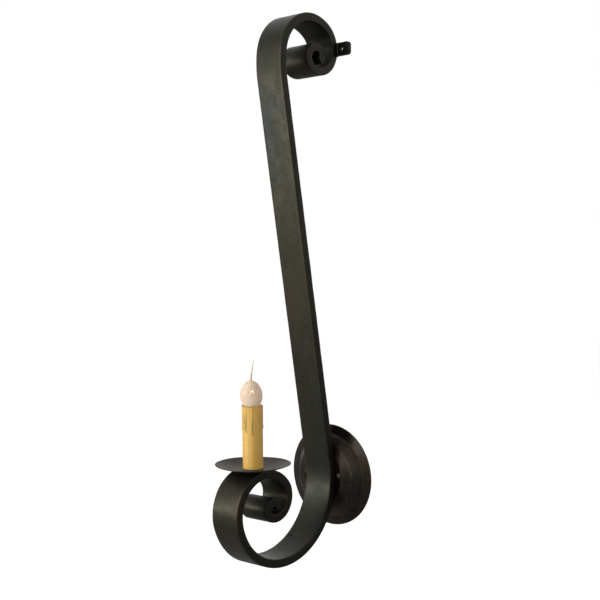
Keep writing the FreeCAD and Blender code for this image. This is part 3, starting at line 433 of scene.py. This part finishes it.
def barEnds(lean):
    radius = scrollBar["foot"][0][0] * mm
    low = np.array([footCentre() + radius * math.cos(lean), radius * math.sin(lean)])
    high = low + scrollBar["straight"] * np.array([-math.sin(lean), math.cos(lean)])
    return low, high


def barLean():
    # the lean at which the back of the top scroll's third turn comes to the strap
    heading, start = math.pi / 2, barEnds(0.0)[1]
    for radius, degrees in scrollBar["top"][:2]:
        centre = start - radius * mm * toward(heading + math.pi / 2)
        heading -= math.radians(degrees)
        start = centre + radius * mm * toward(heading + math.pi / 2)
    radius = scrollBar["top"][2][0] * mm
    centre = start - radius * toward(heading + math.pi / 2)
    arm = math.hypot(centre[0] - footCentre(), centre[1])
    armAngle = math.atan2(centre[1], centre[0] - footCentre())
    back = -scrollBar["strapFace"] + scrollBar["seatDepth"] - scrollBar["thickness"] / 2
    return math.acos((back - radius - footCentre()) / arm) - armAngle


def barCentreLine():
    # from the top scroll's tip, down the straight run, to the foot scroll's tip, with one side always the same
    lean = barLean()
    low, high = barEnds(lean)
    topPoints, topNormals = scrollTurns(high, math.pi / 2 + lean, scrollBar["top"])
    footPoints, footNormals = scrollTurns(low, -math.pi / 2 + lean, scrollBar["foot"])
    steps = int(scrollBar["straight"] / (2 * scrollBar["spacing"]))
    share = np.linspace(0, 1, steps, endpoint=False)[1:, None]
    runPoints = high + (low - high) * share
    runNormals = np.repeat(topNormals[:1], len(share), axis=0)
    points = np.concatenate([topPoints[::-1], runPoints, footPoints])
    normals = np.concatenate([topNormals[::-1], runNormals, -footNormals])
    return points, normals


def hammered(along, across, thick):
    # the hammer leaves the faces a little uneven, and the edges a little more, and the tips are dressed round
    halfWidth = scrollBar["width"] / 2
    onFace = np.clip((halfWidth - np.abs(across)) / scrollBar["faceFade"], 0, 1) * np.sign(thick)
    faceWave = uneven(along, across * 1.3, waves(9, 11, 40, 260)) * scrollBar["faceWaver"] * onFace
    onEdge = np.clip((np.abs(across) - halfWidth + scrollBar["edgeFade"]) / scrollBar["edgeFade"], 0, 1)
    edgeWave = uneven(along, thick * 0.5, waves(9, 12, 60, 420)) * scrollBar["edgeWaver"] * np.sign(across) * onEdge
    fromEnd = np.minimum(along, along[-1, 0] - along)
    full = np.sqrt(np.clip(1 - (1 - np.clip(fromEnd / scrollBar["tipRound"], 0, 1)) ** 2, 0, 1))
    lessWide, lessThick = scrollBar["tipNarrows"]
    narrow = full * lessThick + (1 - lessThick)
    return (across + edgeWave) * (1 - lessWide + lessWide * narrow), (thick + faceWave) * narrow


def pressSeats(grid):
    # flat seats where the canopy, the strap and the pan bear
    strapLow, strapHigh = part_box("top_wall_strap")
    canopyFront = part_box("wall_canopy")[0].y
    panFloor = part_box("drip_pan")[0].z
    nearCanopy = np.abs(grid[..., 2]) < scrollBar["canopySeat"]
    nearStrap = np.abs(grid[..., 2] - (strapLow.z + strapHigh.z) / 2) < scrollBar["strapSeat"]
    nearPan = np.abs(grid[..., 1] - candleY) < scrollBar["panSeat"]
    grid[..., 1] = np.where(nearCanopy, np.minimum(grid[..., 1], canopyFront), grid[..., 1])
    grid[..., 1] = np.where(nearStrap, np.minimum(grid[..., 1], -scrollBar["strapFace"]), grid[..., 1])
    underPan = nearPan & (grid[..., 2] < panFloor + scrollBar["panSeatRise"])
    grid[..., 2] = np.where(underPan, np.minimum(grid[..., 2], panFloor), grid[..., 2])


def barHoles():
    # the small hole low in the foot scroll, and the nipple's hole under the pan
    halfThick = scrollBar["thickness"] / 2
    turn = -math.radians(scrollBar["holeTurn"])
    radius = scrollBar["foot"][0][0] * mm
    holeSpot = (-scrollBar["holeSide"], footCentre() + radius * math.cos(turn), radius * math.sin(turn))
    nippleSpot = (0, candleY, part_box("drip_pan")[0].z - halfThick)
    return [(holeSpot, (0, math.cos(turn), math.sin(turn)), scrollBar["holeRadius"], 4 * halfThick),
            (nippleSpot, (0, 0, 1), scrollBar["nippleHole"], 4 * halfThick)]


def makeScrollBar():
    points, normals = barCentreLine()
    halfWidth = scrollBar["width"] / 2
    halfThick = scrollBar["thickness"] / 2
    outline = denser(roundedBox(halfWidth, halfThick, scrollBar["edgeRound"], 5), scrollBar["sideSpacing"])
    along = np.concatenate([[0], np.cumsum(np.linalg.norm(np.diff(points, axis=0), axis=1))])[:, None]
    across = outline[:, 0][None, :]
    thick = outline[:, 1][None, :]
    side, offset = hammered(along, across, thick)
    grid = np.stack([side + 0 * offset,
                     points[:, 0][:, None] + normals[:, 0][:, None] * offset,
                     points[:, 1][:, None] + normals[:, 1][:, None] * offset], axis=-1)
    pressSeats(grid)
    fromCorner = np.hypot(np.abs(across) - halfWidth, np.abs(thick) - halfThick)
    edge = np.ones_like(along) * np.clip(1 - fromCorner / scrollBar["rubbedEdge"], 0, 1)
    piece = makePiece("forgedBar", grid, barPaint, "frame", ["scroll_bar"], capped=True,
                      sharpAngle=50, shades={"edge": edge})
    return carve(piece, barHoles(), bareIron)


nippleLow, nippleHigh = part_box("threaded_nipple")
candleY = (nippleLow.y + nippleHigh.y) / 2
makeScrollBar()
print("bar made")


# ---- canopy, strap and pan

canopy = {
    "radius": 63.5 * mm,
    "depth": 17.0 * mm,
    "sheet": 1.5 * mm,
    "lip": 1.6 * mm,
    "flange": (52.5 * mm, 3.6 * mm),
    "step": (50.0 * mm, 6.6 * mm),
    "crown": 31.0 * mm,
    "bulge": 1.6 * mm,
    "drop": -3.0 * mm,
    "screws": (25.4 * mm, 2.3 * mm),        # each: place to either side, and the hole's radius
    "bolts": (9.5 * mm, 3.42 * mm),
    "rubbedRim": (1.6 * mm, 0.8),           # each: width and strength of the brown edge
    "rubbedStep": (1.4 * mm, 0.5),
}


def makeCanopy():
    sheet = canopy["sheet"]
    flangeRadius, flangeHeight = canopy["flange"]
    stepRadius, stepHeight = canopy["step"]
    dome = (stepRadius + canopy["crown"]) / 2 + canopy["bulge"]
    domeHeight = (stepHeight + canopy["depth"]) / 2 + canopy["bulge"]
    outside = [(canopy["radius"], 0, 0.3 * mm), (canopy["radius"], canopy["lip"], 0.7 * mm),
               (flangeRadius, flangeHeight, 1.2 * mm), (stepRadius, stepHeight, 1.6 * mm),
               (dome, domeHeight, 12 * mm), (canopy["crown"], canopy["depth"], 9 * mm), (0, canopy["depth"], 0)]
    inside = [(0, canopy["depth"] - sheet, 0), (canopy["crown"] - sheet, canopy["depth"] - sheet, 8 * mm),
              (dome - sheet, domeHeight - sheet, 11 * mm), (stepRadius - sheet, stepHeight - sheet, 0.9 * mm),
              (flangeRadius - sheet, flangeHeight - sheet, 1.5 * mm), (canopy["radius"] - sheet, 0, 0.2 * mm)]
    outline = softened(outside + inside, 8)
    start = int(np.argmin(np.hypot(outline[:, 0], outline[:, 1] - canopy["depth"])))
    outline = np.roll(outline, -start, axis=0)[::-1]        # from pole to pole, round the rim
    grid = lathed(denser(outline, 2.2 * mm, closed=False), 160, (0, 0, canopy["drop"]), outward=True)
    away = np.hypot(grid[..., 0], grid[..., 2] - canopy["drop"])
    edges = [np.clip(1 - np.abs(away - radius) / width, 0, 1) * strength for radius, (width, strength)
             in ((canopy["radius"], canopy["rubbedRim"]), (flangeRadius, canopy["rubbedStep"]))]
    piece = makePiece("canopyDish", grid, canopyPaint, "frame", ["wall_canopy"],
                      sharpAngle=60, shades={"edge": np.maximum(*edges)})
    cutters = [((sign * aside, -canopy["depth"], 0), (0, 1, 0), radius, 8 * mm)
               for aside, radius in (canopy["screws"], canopy["bolts"]) for sign in (-1, 1)]
    return carve(piece, cutters)


strap = {
    "halfHeight": 8.0 * mm,
    "corner": 4.0 * mm,
    "holeSide": 26.0 * mm,
    "holeRadius": 2.4 * mm,
    "beadSize": 0.52 * 3.2 * mm,    # the section's half size, from the weld's leg
    "beadOut": 0.9 * mm,
    "beadLength": 17.0 * mm,
    "beadPitch": 2.1 * mm,
    "beadDrop": 1.5 * mm,
}


def makeStrap():
    halfLength = strapHigh.x
    halfHeight = strapHigh.z - strapLevel
    thick = scrollBar["strapFace"]
    outline = denser(roundedBox(halfLength, halfHeight, strap["corner"], 8, strapLevel), 2.5 * mm)
    middle = np.array([0, strapLevel])
    layers = []
    for depth, inset in ((0, 0.3 * mm), (-0.3 * mm, 0), (-thick + 0.4 * mm, 0), (-thick, 0.4 * mm)):
        shrunk = middle + (outline - middle) * (1 - inset / np.array([halfLength, halfHeight]))
        layers.append(np.stack([shrunk[:, 0], np.full(len(shrunk), depth), shrunk[:, 1]], axis=-1))
    grid = np.stack(layers)
    edge = np.zeros(grid.shape[:2])
    edge[2:] = 0.3                  # the two layers at the front
    piece = makePiece("strapPlate", grid, barPaint, "frame", ["top_wall_strap"],
                      capped=True, sharpAngle=50, shades={"edge": edge})
    holes = [((sign * strap["holeSide"], -thick / 2, strapLevel), (0, 1, 0), strap["holeRadius"], 4 * thick)
             for sign in (-1, 1)]
    return carve(piece, holes)


def makeWeldBead(name, sign):
    # a rippled bead: its section is a rounded fillet whose size swells and sinks along the run
    length = strap["beadLength"]
    along = np.linspace(0, 1, 60)[:, None]
    around = ring(20)[None, :]
    ends = np.sqrt(np.clip(1 - (2 * along - 1) ** 8, 0, 1))
    ripple = 1 + 0.10 * np.sin(2 * math.pi * (along * length / strap["beadPitch"] + 0.12 * np.cos(around)))
    ripple = ripple + 0.05 * uneven(along * 9, around, waves(4, 21 + sign, 0.8, 2.2))
    size = strap["beadSize"] * ends * ripple
    x = sign * (scrollBar["width"] / 2 + strap["beadOut"]) + sign * size * np.cos(around)
    y = -scrollBar["strapFace"] - strap["beadOut"] - size * np.sin(around) * 0.95
    y = np.minimum(y, -0.3 * mm)    # no part of it reaches the wall
    z = strapLevel - length / 2 - strap["beadDrop"] + along * length + 0 * around
    return makePiece(name, np.stack([x, y, z], axis=-1), barPaint, "frame", ["top_wall_strap"],
                     capped=True, sharpAngle=70)


pan = {
    "radius": 44.45 * mm,
    "rise": 5.5 * mm,
    "sheet": 1.2 * mm,
    "floor": 13.0 * mm,
    "hole": 5.25 * mm,
    "waver": 0.25 * mm,
    "waverFrom": 20.0 * mm,
    "waverOver": 24.0 * mm,
    "rubbedRim": 1.3 * mm,
}


def makePan():
    # a saucer of even sheet: height rises with the square of the way out from the flat floor
    sheet = pan["sheet"]
    out = np.linspace(0, 1, 26)
    radius = pan["floor"] + (pan["radius"] - pan["floor"] - 0.4 * sheet) * out
    height = pan["rise"] * out ** 2
    rimAngles = np.linspace(-math.pi / 2, math.pi / 2, 9)[1:-1]
    rim = np.stack([pan["radius"] - 0.5 * sheet + 0.5 * sheet * np.cos(rimAngles),
                    pan["rise"] + sheet / 2 + sheet / 2 * np.sin(rimAngles)], axis=-1)
    under = np.stack([radius, height], axis=-1)
    over = np.stack([radius, height + sheet], axis=-1)[::-1]
    inner = np.array([[pan["hole"], sheet], [pan["hole"], 0]])
    outline = denser(np.concatenate([under, rim, over, inner]), 2.2 * mm)
    grid = lathed(outline, 128, (0, candleY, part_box("drip_pan")[0].z))
    away = np.hypot(grid[..., 0], grid[..., 1] - candleY)
    angle = np.arctan2(grid[..., 1] - candleY, grid[..., 0])
    lift = np.clip((away - pan["waverFrom"]) / pan["waverOver"], 0, 1) ** 2
    grid[..., 2] += lift * pan["waver"] * (np.sin(2 * angle + 0.7) + 0.5 * np.sin(5 * angle))
    edge = np.clip((away - pan["radius"] + pan["rubbedRim"]) / (1.0 * mm), 0, 1)
    return makePiece("saucer", grid, panPaint, "frame", ["drip_pan"], closedRows=True,
                     sharpAngle=60, shades={"edge": edge})


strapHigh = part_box("top_wall_strap")[1]
strapLevel = strapHigh.z - strap["halfHeight"]
makeCanopy()
makeStrap()
makeWeldBead("weldBeadLeft", -1)
makeWeldBead("weldBeadRight", 1)
makePan()
print("canopy, strap and pan made")


# ---- threads: a wall whose radius follows a helix

def threadedWall(name, radius, depth, pitch, ends, body, replaced, bore=None, sheet=None):
    # radius(angle, height) is the crest less a rounded wave of height / pitch - angle / turn, fading at both ends
    low, high = ends[0].z, ends[1].z
    rows = int((high - low) / pitch * 14)
    height = np.linspace(low, high, rows)[:, None]
    angle = ring(72)[None, :]
    phase = (height - low) / pitch - angle / (2 * math.pi)
    fade = np.clip(np.minimum(height - low, high - height) / (0.8 * pitch), 0, 1)
    outer = radius - depth * fade * (0.5 - 0.5 * np.cos(2 * math.pi * phase))
    inner = (outer - sheet if sheet else np.full_like(outer, bore))[::-1]
    both = np.concatenate([outer, inner])
    level = np.concatenate([height, height[::-1]]) + 0 * angle
    grid = np.stack([both * np.cos(angle), candleY + both * np.sin(angle), level], axis=-1)
    return makePiece(name, grid, drawnBrass, body, replaced, closedRows=True, sharpAngle=60)


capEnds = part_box("bulb_base_shell")
threadedWall("nippleThread", 5.0 * mm, 0.42 * mm, 0.94 * mm, (nippleLow, nippleHigh), "frame",
             ["threaded_nipple"], bore=3.4 * mm)
threadedWall("screwShell", 7.05 * mm, 0.6 * mm, 2.5 * mm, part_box("socket_screw_shell"), "frame",
             ["socket_screw_shell"], sheet=0.4 * mm)
threadedWall("capThread", 5.85 * mm, 0.45 * mm, 2.5 * mm, capEnds, "bulb",
             ["bulb_base_shell"], sheet=0.35 * mm)
print("threads made")


# ---- the candle sleeve: a tube whose radius swells where wax ran down and set

sleeve = {
    "radius": 11.9 * mm,
    "wall": 1.3 * mm,
    "runWidth": 1.15 * mm,
    "runHeight": 0.42 * mm,
    "beadSize": 1.35 * mm,
    "beadHeight": 0.95 * mm,
    "wander": 0.35 * mm,
    "stainWidth": 1.05 * mm,
    "lip": 0.25 * mm,
    "lipFade": 2.2 * mm,
    "waver": 0.06 * mm,
    "mouthWaver": (0.35 * mm, 0.2 * mm),    # two waves round the mouth
    "mouthDrop": 0.5 * mm,
    "mouthFade": 9.0 * mm,
    "mouthRound": 0.55 * mm,
    "rubbedMouth": 2.0 * mm,
    "rows": 170,
    "columns": 288,
    # (angle seen from above, length down from the rim in millimetres)
    "drips": [(-168, 27), (-138.5, 28), (-96, 25), (-86, 29), (-48.5, 32), (-2, 23), (41.5, 26), (70, 30), (98, 24),
              (128, 31), (160, 25)],
}


def waxRuns(angle, down):
    # how far each run and its bead stand out of the wall, and where the run is thick enough to look dark
    swell = np.zeros(np.broadcast_shapes(angle.shape, down.shape))
    stain = np.zeros_like(swell)
    for degrees, length in sleeve["drips"]:
        length = length * mm
        aside = (angle - math.radians(degrees) + math.pi) % (2 * math.pi) - math.pi
        aside = aside * sleeve["radius"] + sleeve["wander"] * np.sin(down / (5.5 * mm) + degrees)
        tail = np.clip((length - down) / (1.2 * mm), 0, 1)
        thin = sleeve["runWidth"] * (0.75 + 0.45 * np.clip(1 - down / (10 * mm), 0, 1))
        run = sleeve["runHeight"] * tail * np.exp(-(aside / thin) ** 2)
        bead = sleeve["beadHeight"] * np.exp(-(aside ** 2 + ((down - length) * 0.8) ** 2) / sleeve["beadSize"] ** 2)
        swell = swell + run ** 3 + bead ** 3
        thick = np.clip((down / length - 0.35) / 0.3, 0, 1) * np.clip((length + 1.2 * mm - down) / (1.5 * mm), 0, 1)
        stain = np.maximum(stain, thick * np.exp(-(aside / sleeve["stainWidth"]) ** 2))
    return np.cbrt(swell), stain


def makeSleeve():
    low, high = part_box("candle_sleeve")
    height = np.linspace(low.z, high.z, sleeve["rows"])[:, None]
    angle = ring(sleeve["columns"])[None, :]
    down = high.z - height
    swell, stain = waxRuns(angle, down)
    lip = sleeve["lip"] * np.exp(-down / sleeve["lipFade"]) * (1 + 0.5 * np.sin(3 * angle + 0.4))
    wall = sleeve["radius"] + swell + lip
    wall = wall + sleeve["waver"] * uneven(angle * 3, height * 160, waves(6, 31, 1, 3))
    # painted shade: the wax is darkened where the runs' flanks slope, on both sides alike
    slope = np.abs(np.gradient(swell, axis=1)) / (2 * math.pi * sleeve["radius"] / sleeve["columns"])
    runFlankShade = np.clip(slope * 1.5, 0, 1)
    # the wall turns in over the rim and down the bore
    bore = sleeve["radius"] - sleeve["wall"]
    turnIn = np.linspace(0, math.pi, 9)[1:-1, None]
    rimRadius = (wall[-1:] + bore) / 2 + (wall[-1:] - bore) / 2 * np.cos(turnIn)
    rimHeight = high.z - sleeve["mouthRound"] + 0.5 * mm * np.sin(turnIn) + 0 * angle
    insideHeight = np.linspace(high.z - 0.6 * mm, low.z, 24)[:, None] + 0 * angle
    radius = np.concatenate([wall, rimRadius, np.full_like(insideHeight, bore)])
    rounded = np.clip(1 - down / (1 * mm), 0, 1) * sleeve["mouthRound"]
    level = np.concatenate([height - rounded + 0 * angle, rimHeight, insideHeight])
    slow, quick = sleeve["mouthWaver"]
    nearMouth = np.clip(1 - (high.z - level) / sleeve["mouthFade"], 0, 1)
    level = level + (slow * np.sin(2 * angle + 0.8) + quick * np.sin(7 * angle) - sleeve["mouthDrop"]) * nearMouth
    grid = np.stack([radius * np.cos(angle), candleY + radius * np.sin(angle), level], axis=-1)
    plain = np.zeros((len(rimRadius) + len(insideHeight), sleeve["columns"]))
    # darker brown at the mouth: an antique tone on the outer wall and lip, and painted shade down the bore
    rim = np.clip(1 - down / sleeve["rubbedMouth"], 0, 1) ** 1.5 * (0.75 + 0.25 * np.sin(5 * angle))
    rim = np.concatenate([rim, np.full_like(rimRadius, 0.9), np.full_like(insideHeight, 0.6)])
    shades = {"runFlankShade": np.concatenate([runFlankShade, plain]), "stain": np.concatenate([stain, plain]), "rim": rim}
    return makePiece("waxSleeve", grid, wax, "sleeve", ["candle_sleeve"], closedRows=True,
                     sharpAngle=70, shades=shades)


makeSleeve()
print("sleeve made")


# ---- the bulb: glass and coat are one outline at two sizes, leaning a little in the socket

bulb = {
    "radius": 12.4 * mm,
    "lower": 15.5 * mm,
    "upper": 16.7 * mm,
    "middle": 31.0 * mm,            # widest place above the top of the metal cap
    "neck": 4.8 * mm,
    "neckSunk": 8.0 * mm,
    "skirt": 15.0 * mm,
    "glassWall": 0.8 * mm,
    "coatWall": 0.65 * mm,
    "gap": 0.05 * mm,
    "spoutRadius": 1.5 * mm,
    "spoutTip": 0.45 * mm,
    "spoutLength": 25.0 * mm,
    "spoutBend": 3.4 * mm,
    "spoutEnd": 0.4 * mm,           # how far its round end reaches
    "lean": 1.1 * mm,
    "leanWay": (0.749, 0.662),      # the bulb leans against this way, and its spout bends along it
}


def globeRadius(height, offset, spout):
    # a straight neck, then two quarter ellipses that meet at the widest place, and a thin pulled spout on top
    wide = bulb["radius"] + offset
    reach = np.where(height < bulb["middle"], bulb["lower"], bulb["upper"]) + offset
    globe = wide * np.sqrt(np.clip(1 - ((height - bulb["middle"]) / reach) ** 2, 0, 1))
    radius = np.where(height < bulb["middle"], np.maximum(globe, bulb["neck"] + offset), globe)
    if spout:
        crown = bulb["middle"] + bulb["upper"]
        share = np.clip((height - crown) / bulb["spoutLength"], 0, 1)
        pulled = bulb["spoutTip"] + (bulb["spoutRadius"] - bulb["spoutTip"]) * (1 - share) ** 1.6
        radius = np.where(height > bulb["middle"], (radius ** 3 + pulled ** 3) ** (1 / 3), radius)
    return radius


def bulbGrid(heights, radii, columns):
    angle = ring(columns)[None, :]
    rise = np.array(heights)
    crown = bulb["middle"] + bulb["upper"]
    aside = -bulb["lean"] * np.clip((rise - 4 * mm) / (bulb["middle"] - 4 * mm), 0, 1.3)
    up = np.clip((rise - crown) / bulb["spoutLength"], 0, 1)
    aside = aside + (bulb["spoutBend"] + bulb["lean"] * 0.4) * up ** 1.35
    x = aside[:, None] * bulb["leanWay"][0] + radii[:, None] * np.cos(angle)
    y = candleY + aside[:, None] * bulb["leanWay"][1] + radii[:, None] * np.sin(angle)
    z = capEnds[1].z + rise[:, None] + 0 * angle
    return np.stack([x, y, z], axis=-1)


def bulbShell(name, outerOffset, innerOffset, foot, spout, material, replaced):
    # one wall from the crown down the outside to the foot, and up the inside to the crown again
    crown = bulb["middle"] + bulb["upper"]
    crownOut = crown + outerOffset
    crownIn = crown + innerOffset
    bend = np.linspace(0, 1, 46)
    outer = foot + (crownOut - foot) * np.sin(bend * math.pi / 2)
    if spout:
        tip = crown + bulb["spoutLength"]
        outer = np.concatenate([outer, np.linspace(crownOut, tip - bulb["spoutEnd"], 34)[1:]])
    outerRadius = globeRadius(outer, outerOffset, spout)
    if spout:
        cap = np.linspace(0, math.pi / 2, 6)[1:]
        outer = np.concatenate([outer, outer[-1] + bulb["spoutEnd"] * np.sin(cap)])
        outerRadius = np.concatenate([outerRadius, outerRadius[-1] * np.cos(cap)])
    outerRadius[-1] = 0.0
    inner = foot + (crownIn - foot) * np.sin(bend * math.pi / 2)
    innerRadius = globeRadius(inner, innerOffset, False)
    innerRadius[-1] = 0.0
    heights = np.concatenate([outer[::-1], inner])
    radii = np.concatenate([outerRadius[::-1], innerRadius])
    return makePiece(name, bulbGrid(heights, radii, 96), material, "bulb", replaced, sharpAngle=60)


bulbShell("globe", 0.0, -bulb["glassWall"], -bulb["neckSunk"], False, bulbGlass, ["bulb_glass"])
bulbShell("milkyDip", bulb["gap"] + bulb["coatWall"], bulb["gap"], bulb["skirt"], True, coat,
          ["bulb_silicone_coat"])


def tubeAlong(path, radius, sides):
    # a round section carried along a path, square to the way the path runs
    way = np.gradient(path, axis=0)
    way /= np.linalg.norm(way, axis=1)[:, None]
    aside = np.cross(way, np.array([0.31, 0.87, 0.38]))
    aside /= np.linalg.norm(aside, axis=1)[:, None]
    over = np.cross(way, aside)
    angle = ring(sides)[None, :, None]
    return path[:, None, :] + radius * (aside[:, None, :] * np.cos(angle) + over[:, None, :] * np.sin(angle))


filament = {"turns": 26, "coilRadius": 0.34 * mm, "wireRadius": 0.11 * mm}


def makeFilament():
    # a fine coil whose middle line is the half ring between the two leads
    low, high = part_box("bulb_filament")
    halfSpan = (high.x - low.x) / 2 - 0.2 * mm
    share = np.linspace(0, 1, 12 * filament["turns"] + 1)
    arch = math.pi * share
    spin = 2 * math.pi * filament["turns"] * share
    coil = filament["coilRadius"] * np.sin(share * math.pi) ** 0.25
    reach = halfSpan + coil * np.cos(spin)
    path = np.stack([reach * np.cos(arch), candleY + coil * np.sin(spin), low.z + reach * np.sin(arch)], axis=-1)
    return makePiece("coiledFilament", tubeAlong(path, filament["wireRadius"], 6), glowingWire(), "bulb",
                     ["bulb_filament"], capped=True, sharpAngle=80)


makeFilament()
print("bulb made")


# ---- CAD nodes that keep their shape take their finishes

finishes = {
    "canopy_crossbar": zinc, "canopy_screws": screwPaint, "ground_screw": greenPlate, "bar_bolts": zinc,
    "bar_bolt_washers": zinc, "nipple_washer": zinc, "nipple_locknut": screwPaint, "pan_locknut": zinc,
    "socket_bracket": zinc, "socket_body": mouldedBlack(), "socket_centre_contact": drawnBrass,
    "socket_rivets": nickel, "contact_rivet": drawnBrass, "bulb_contact": solder,
    "bulb_base_insulator": blackGlass(), "bulb_stem": stemGlass, "bulb_lead_wires": nickel,
}
for nodeName, finish in finishes.items():
    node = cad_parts[nodeName]
    node.data.materials.clear()
    node.data.materials.append(finish)
print("finishes set")


# ---- floor, light and camera

studio = {
    "floorLevel": -0.42,
    "floorRings": (0.0, 0.3, 0.8, 1.6, 3.2, 6.0, 9.0),
    "floorSides": 64,
    "floorTone": (0.55, 0.55, 0.545, 1),
    "floorGlow": 0.85,
    "worldStrength": 0.27,
    "aim": (0.0, -0.08, 0.22),
    # each: place, size, power and tone
    "softboxes": {
        "keyLight": ((-0.60, -1.90, 0.90), (1.0, 0.80), 31.0, (1.0, 0.97, 0.93)),
        "fillLight": ((0.79, -2.19, 0.30), (0.28, 0.90), 8.0, (1.0, 0.96, 0.92)),
        "lowLight": ((-1.20, -1.70, 0.20), (0.5, 0.3), 17.0, (1.0, 0.98, 0.95)),
    },
}


def seenRays(tree):
    # 1 for what the camera, a reflection or a view through glass sees, and 0 for light on the object
    path = addNode(tree, "ShaderNodeLightPath")
    total = path.outputs["Is Camera Ray"]
    for ray in ("Is Glossy Ray", "Is Transmission Ray"):
        greater = addNode(tree, "ShaderNodeMath", operation="MAXIMUM")
        tree.links.new(total, greater.inputs[0])
        tree.links.new(path.outputs[ray], greater.inputs[1])
        total = greater.outputs["Value"]
    return total


def makeWorld():
    world = bpy.data.worlds.new("studioWorld")
    bpy.context.scene.world = world
    world.use_nodes = True
    tree = world.node_tree
    tree.nodes.clear()
    lighting = addNode(tree, "ShaderNodeBackground", {"Color": (1, 1, 1, 1), "Strength": studio["worldStrength"]})
    seen = addNode(tree, "ShaderNodeBackground", {"Color": (1, 1, 1, 1), "Strength": 1.0})
    mix = addNode(tree, "ShaderNodeMixShader")
    out = addNode(tree, "ShaderNodeOutputWorld")
    tree.links.new(seenRays(tree), mix.inputs["Fac"])
    tree.links.new(lighting.outputs[0], mix.inputs[1])
    tree.links.new(seen.outputs[0], mix.inputs[2])
    tree.links.new(mix.outputs[0], out.inputs["Surface"])


def makeFloor():
    # a matt floor that also glows for the camera, enough to be white outside the shadow
    material = bpy.data.materials.new("paleFloor")
    material.use_nodes = True
    tree = material.node_tree
    tree.nodes.clear()
    path = addNode(tree, "ShaderNodeLightPath")
    matt = addNode(tree, "ShaderNodeBsdfDiffuse", {"Color": studio["floorTone"]})
    glow = addNode(tree, "ShaderNodeEmission", {"Color": (1, 1, 1, 1)})
    share = addNode(tree, "ShaderNodeMath", {1: studio["floorGlow"]}, operation="MULTIPLY")
    both = addNode(tree, "ShaderNodeAddShader")
    out = addNode(tree, "ShaderNodeOutputMaterial")
    tree.links.new(path.outputs["Is Camera Ray"], share.inputs[0])
    tree.links.new(share.outputs["Value"], glow.inputs["Strength"])
    tree.links.new(matt.outputs[0], both.inputs[0])
    tree.links.new(glow.outputs[0], both.inputs[1])
    tree.links.new(both.outputs[0], out.inputs["Surface"])
    outline = np.array([(radius, studio["floorLevel"]) for radius in studio["floorRings"]])
    grid = lathed(outline, studio["floorSides"], (0, 0, 0))
    mesh = bpy.data.meshes.new("floor")
    mesh.from_pydata(grid.reshape(-1, 3).tolist(), [], gridFaces(*grid.shape[:2]).tolist())
    floor = bpy.data.objects.new("floor", mesh)
    bpy.context.scene.collection.objects.link(floor)
    floor.data.materials.append(material)


def addSoftbox(name, place, size, power, tone):
    light = bpy.data.lights.new(name, "AREA")
    light.shape = "RECTANGLE"
    light.size, light.size_y = size
    light.energy = power
    light.color = tone
    lamp = bpy.data.objects.new(name, light)
    lamp.location = place
    lamp.rotation_euler = (Vector(studio["aim"]) - Vector(place)).to_track_quat("-Z", "Y").to_euler()
    bpy.context.scene.collection.objects.link(lamp)


camera = {
    "place": (0.851433, -1.020861, 0.265480),
    "turn": 41.456,             # degrees to the left of straight at the wall
    "pitch": 2.041,             # degrees down
    "roll": -0.642,
    "lens": 63.30,
    "sensor": 36.0,
}


def makeCamera():
    turn, pitch, roll = (math.radians(camera[key]) for key in ("turn", "pitch", "roll"))
    right = Vector((math.cos(turn), math.sin(turn), 0))
    look = Vector((-math.sin(turn) * math.cos(pitch), math.cos(turn) * math.cos(pitch), -math.sin(pitch)))
    up = right.cross(look)
    rolledRight = right * math.cos(roll) + up * math.sin(roll)
    rolledUp = up * math.cos(roll) - right * math.sin(roll)
    lens = bpy.data.cameras.new("camera")
    lens.lens = camera["lens"]
    lens.sensor_width = camera["sensor"]
    lens.clip_start = 0.01
    lens.clip_end = 100
    seat = bpy.data.objects.new("camera", lens)
    bpy.context.scene.collection.objects.link(seat)
    seat.matrix_world = Matrix((
        (rolledRight.x, rolledUp.x, -look.x, camera["place"][0]),
        (rolledRight.y, rolledUp.y, -look.y, camera["place"][1]),
        (rolledRight.z, rolledUp.z, -look.z, camera["place"][2]),
        (0, 0, 0, 1)))
    bpy.context.scene.camera = seat


makeWorld()
makeFloor()
for lampName, settings in studio["softboxes"].items():
    addSoftbox(lampName, *settings)
makeCamera()
bpy.context.scene.view_settings.view_transform = "Standard"
print("studio made")
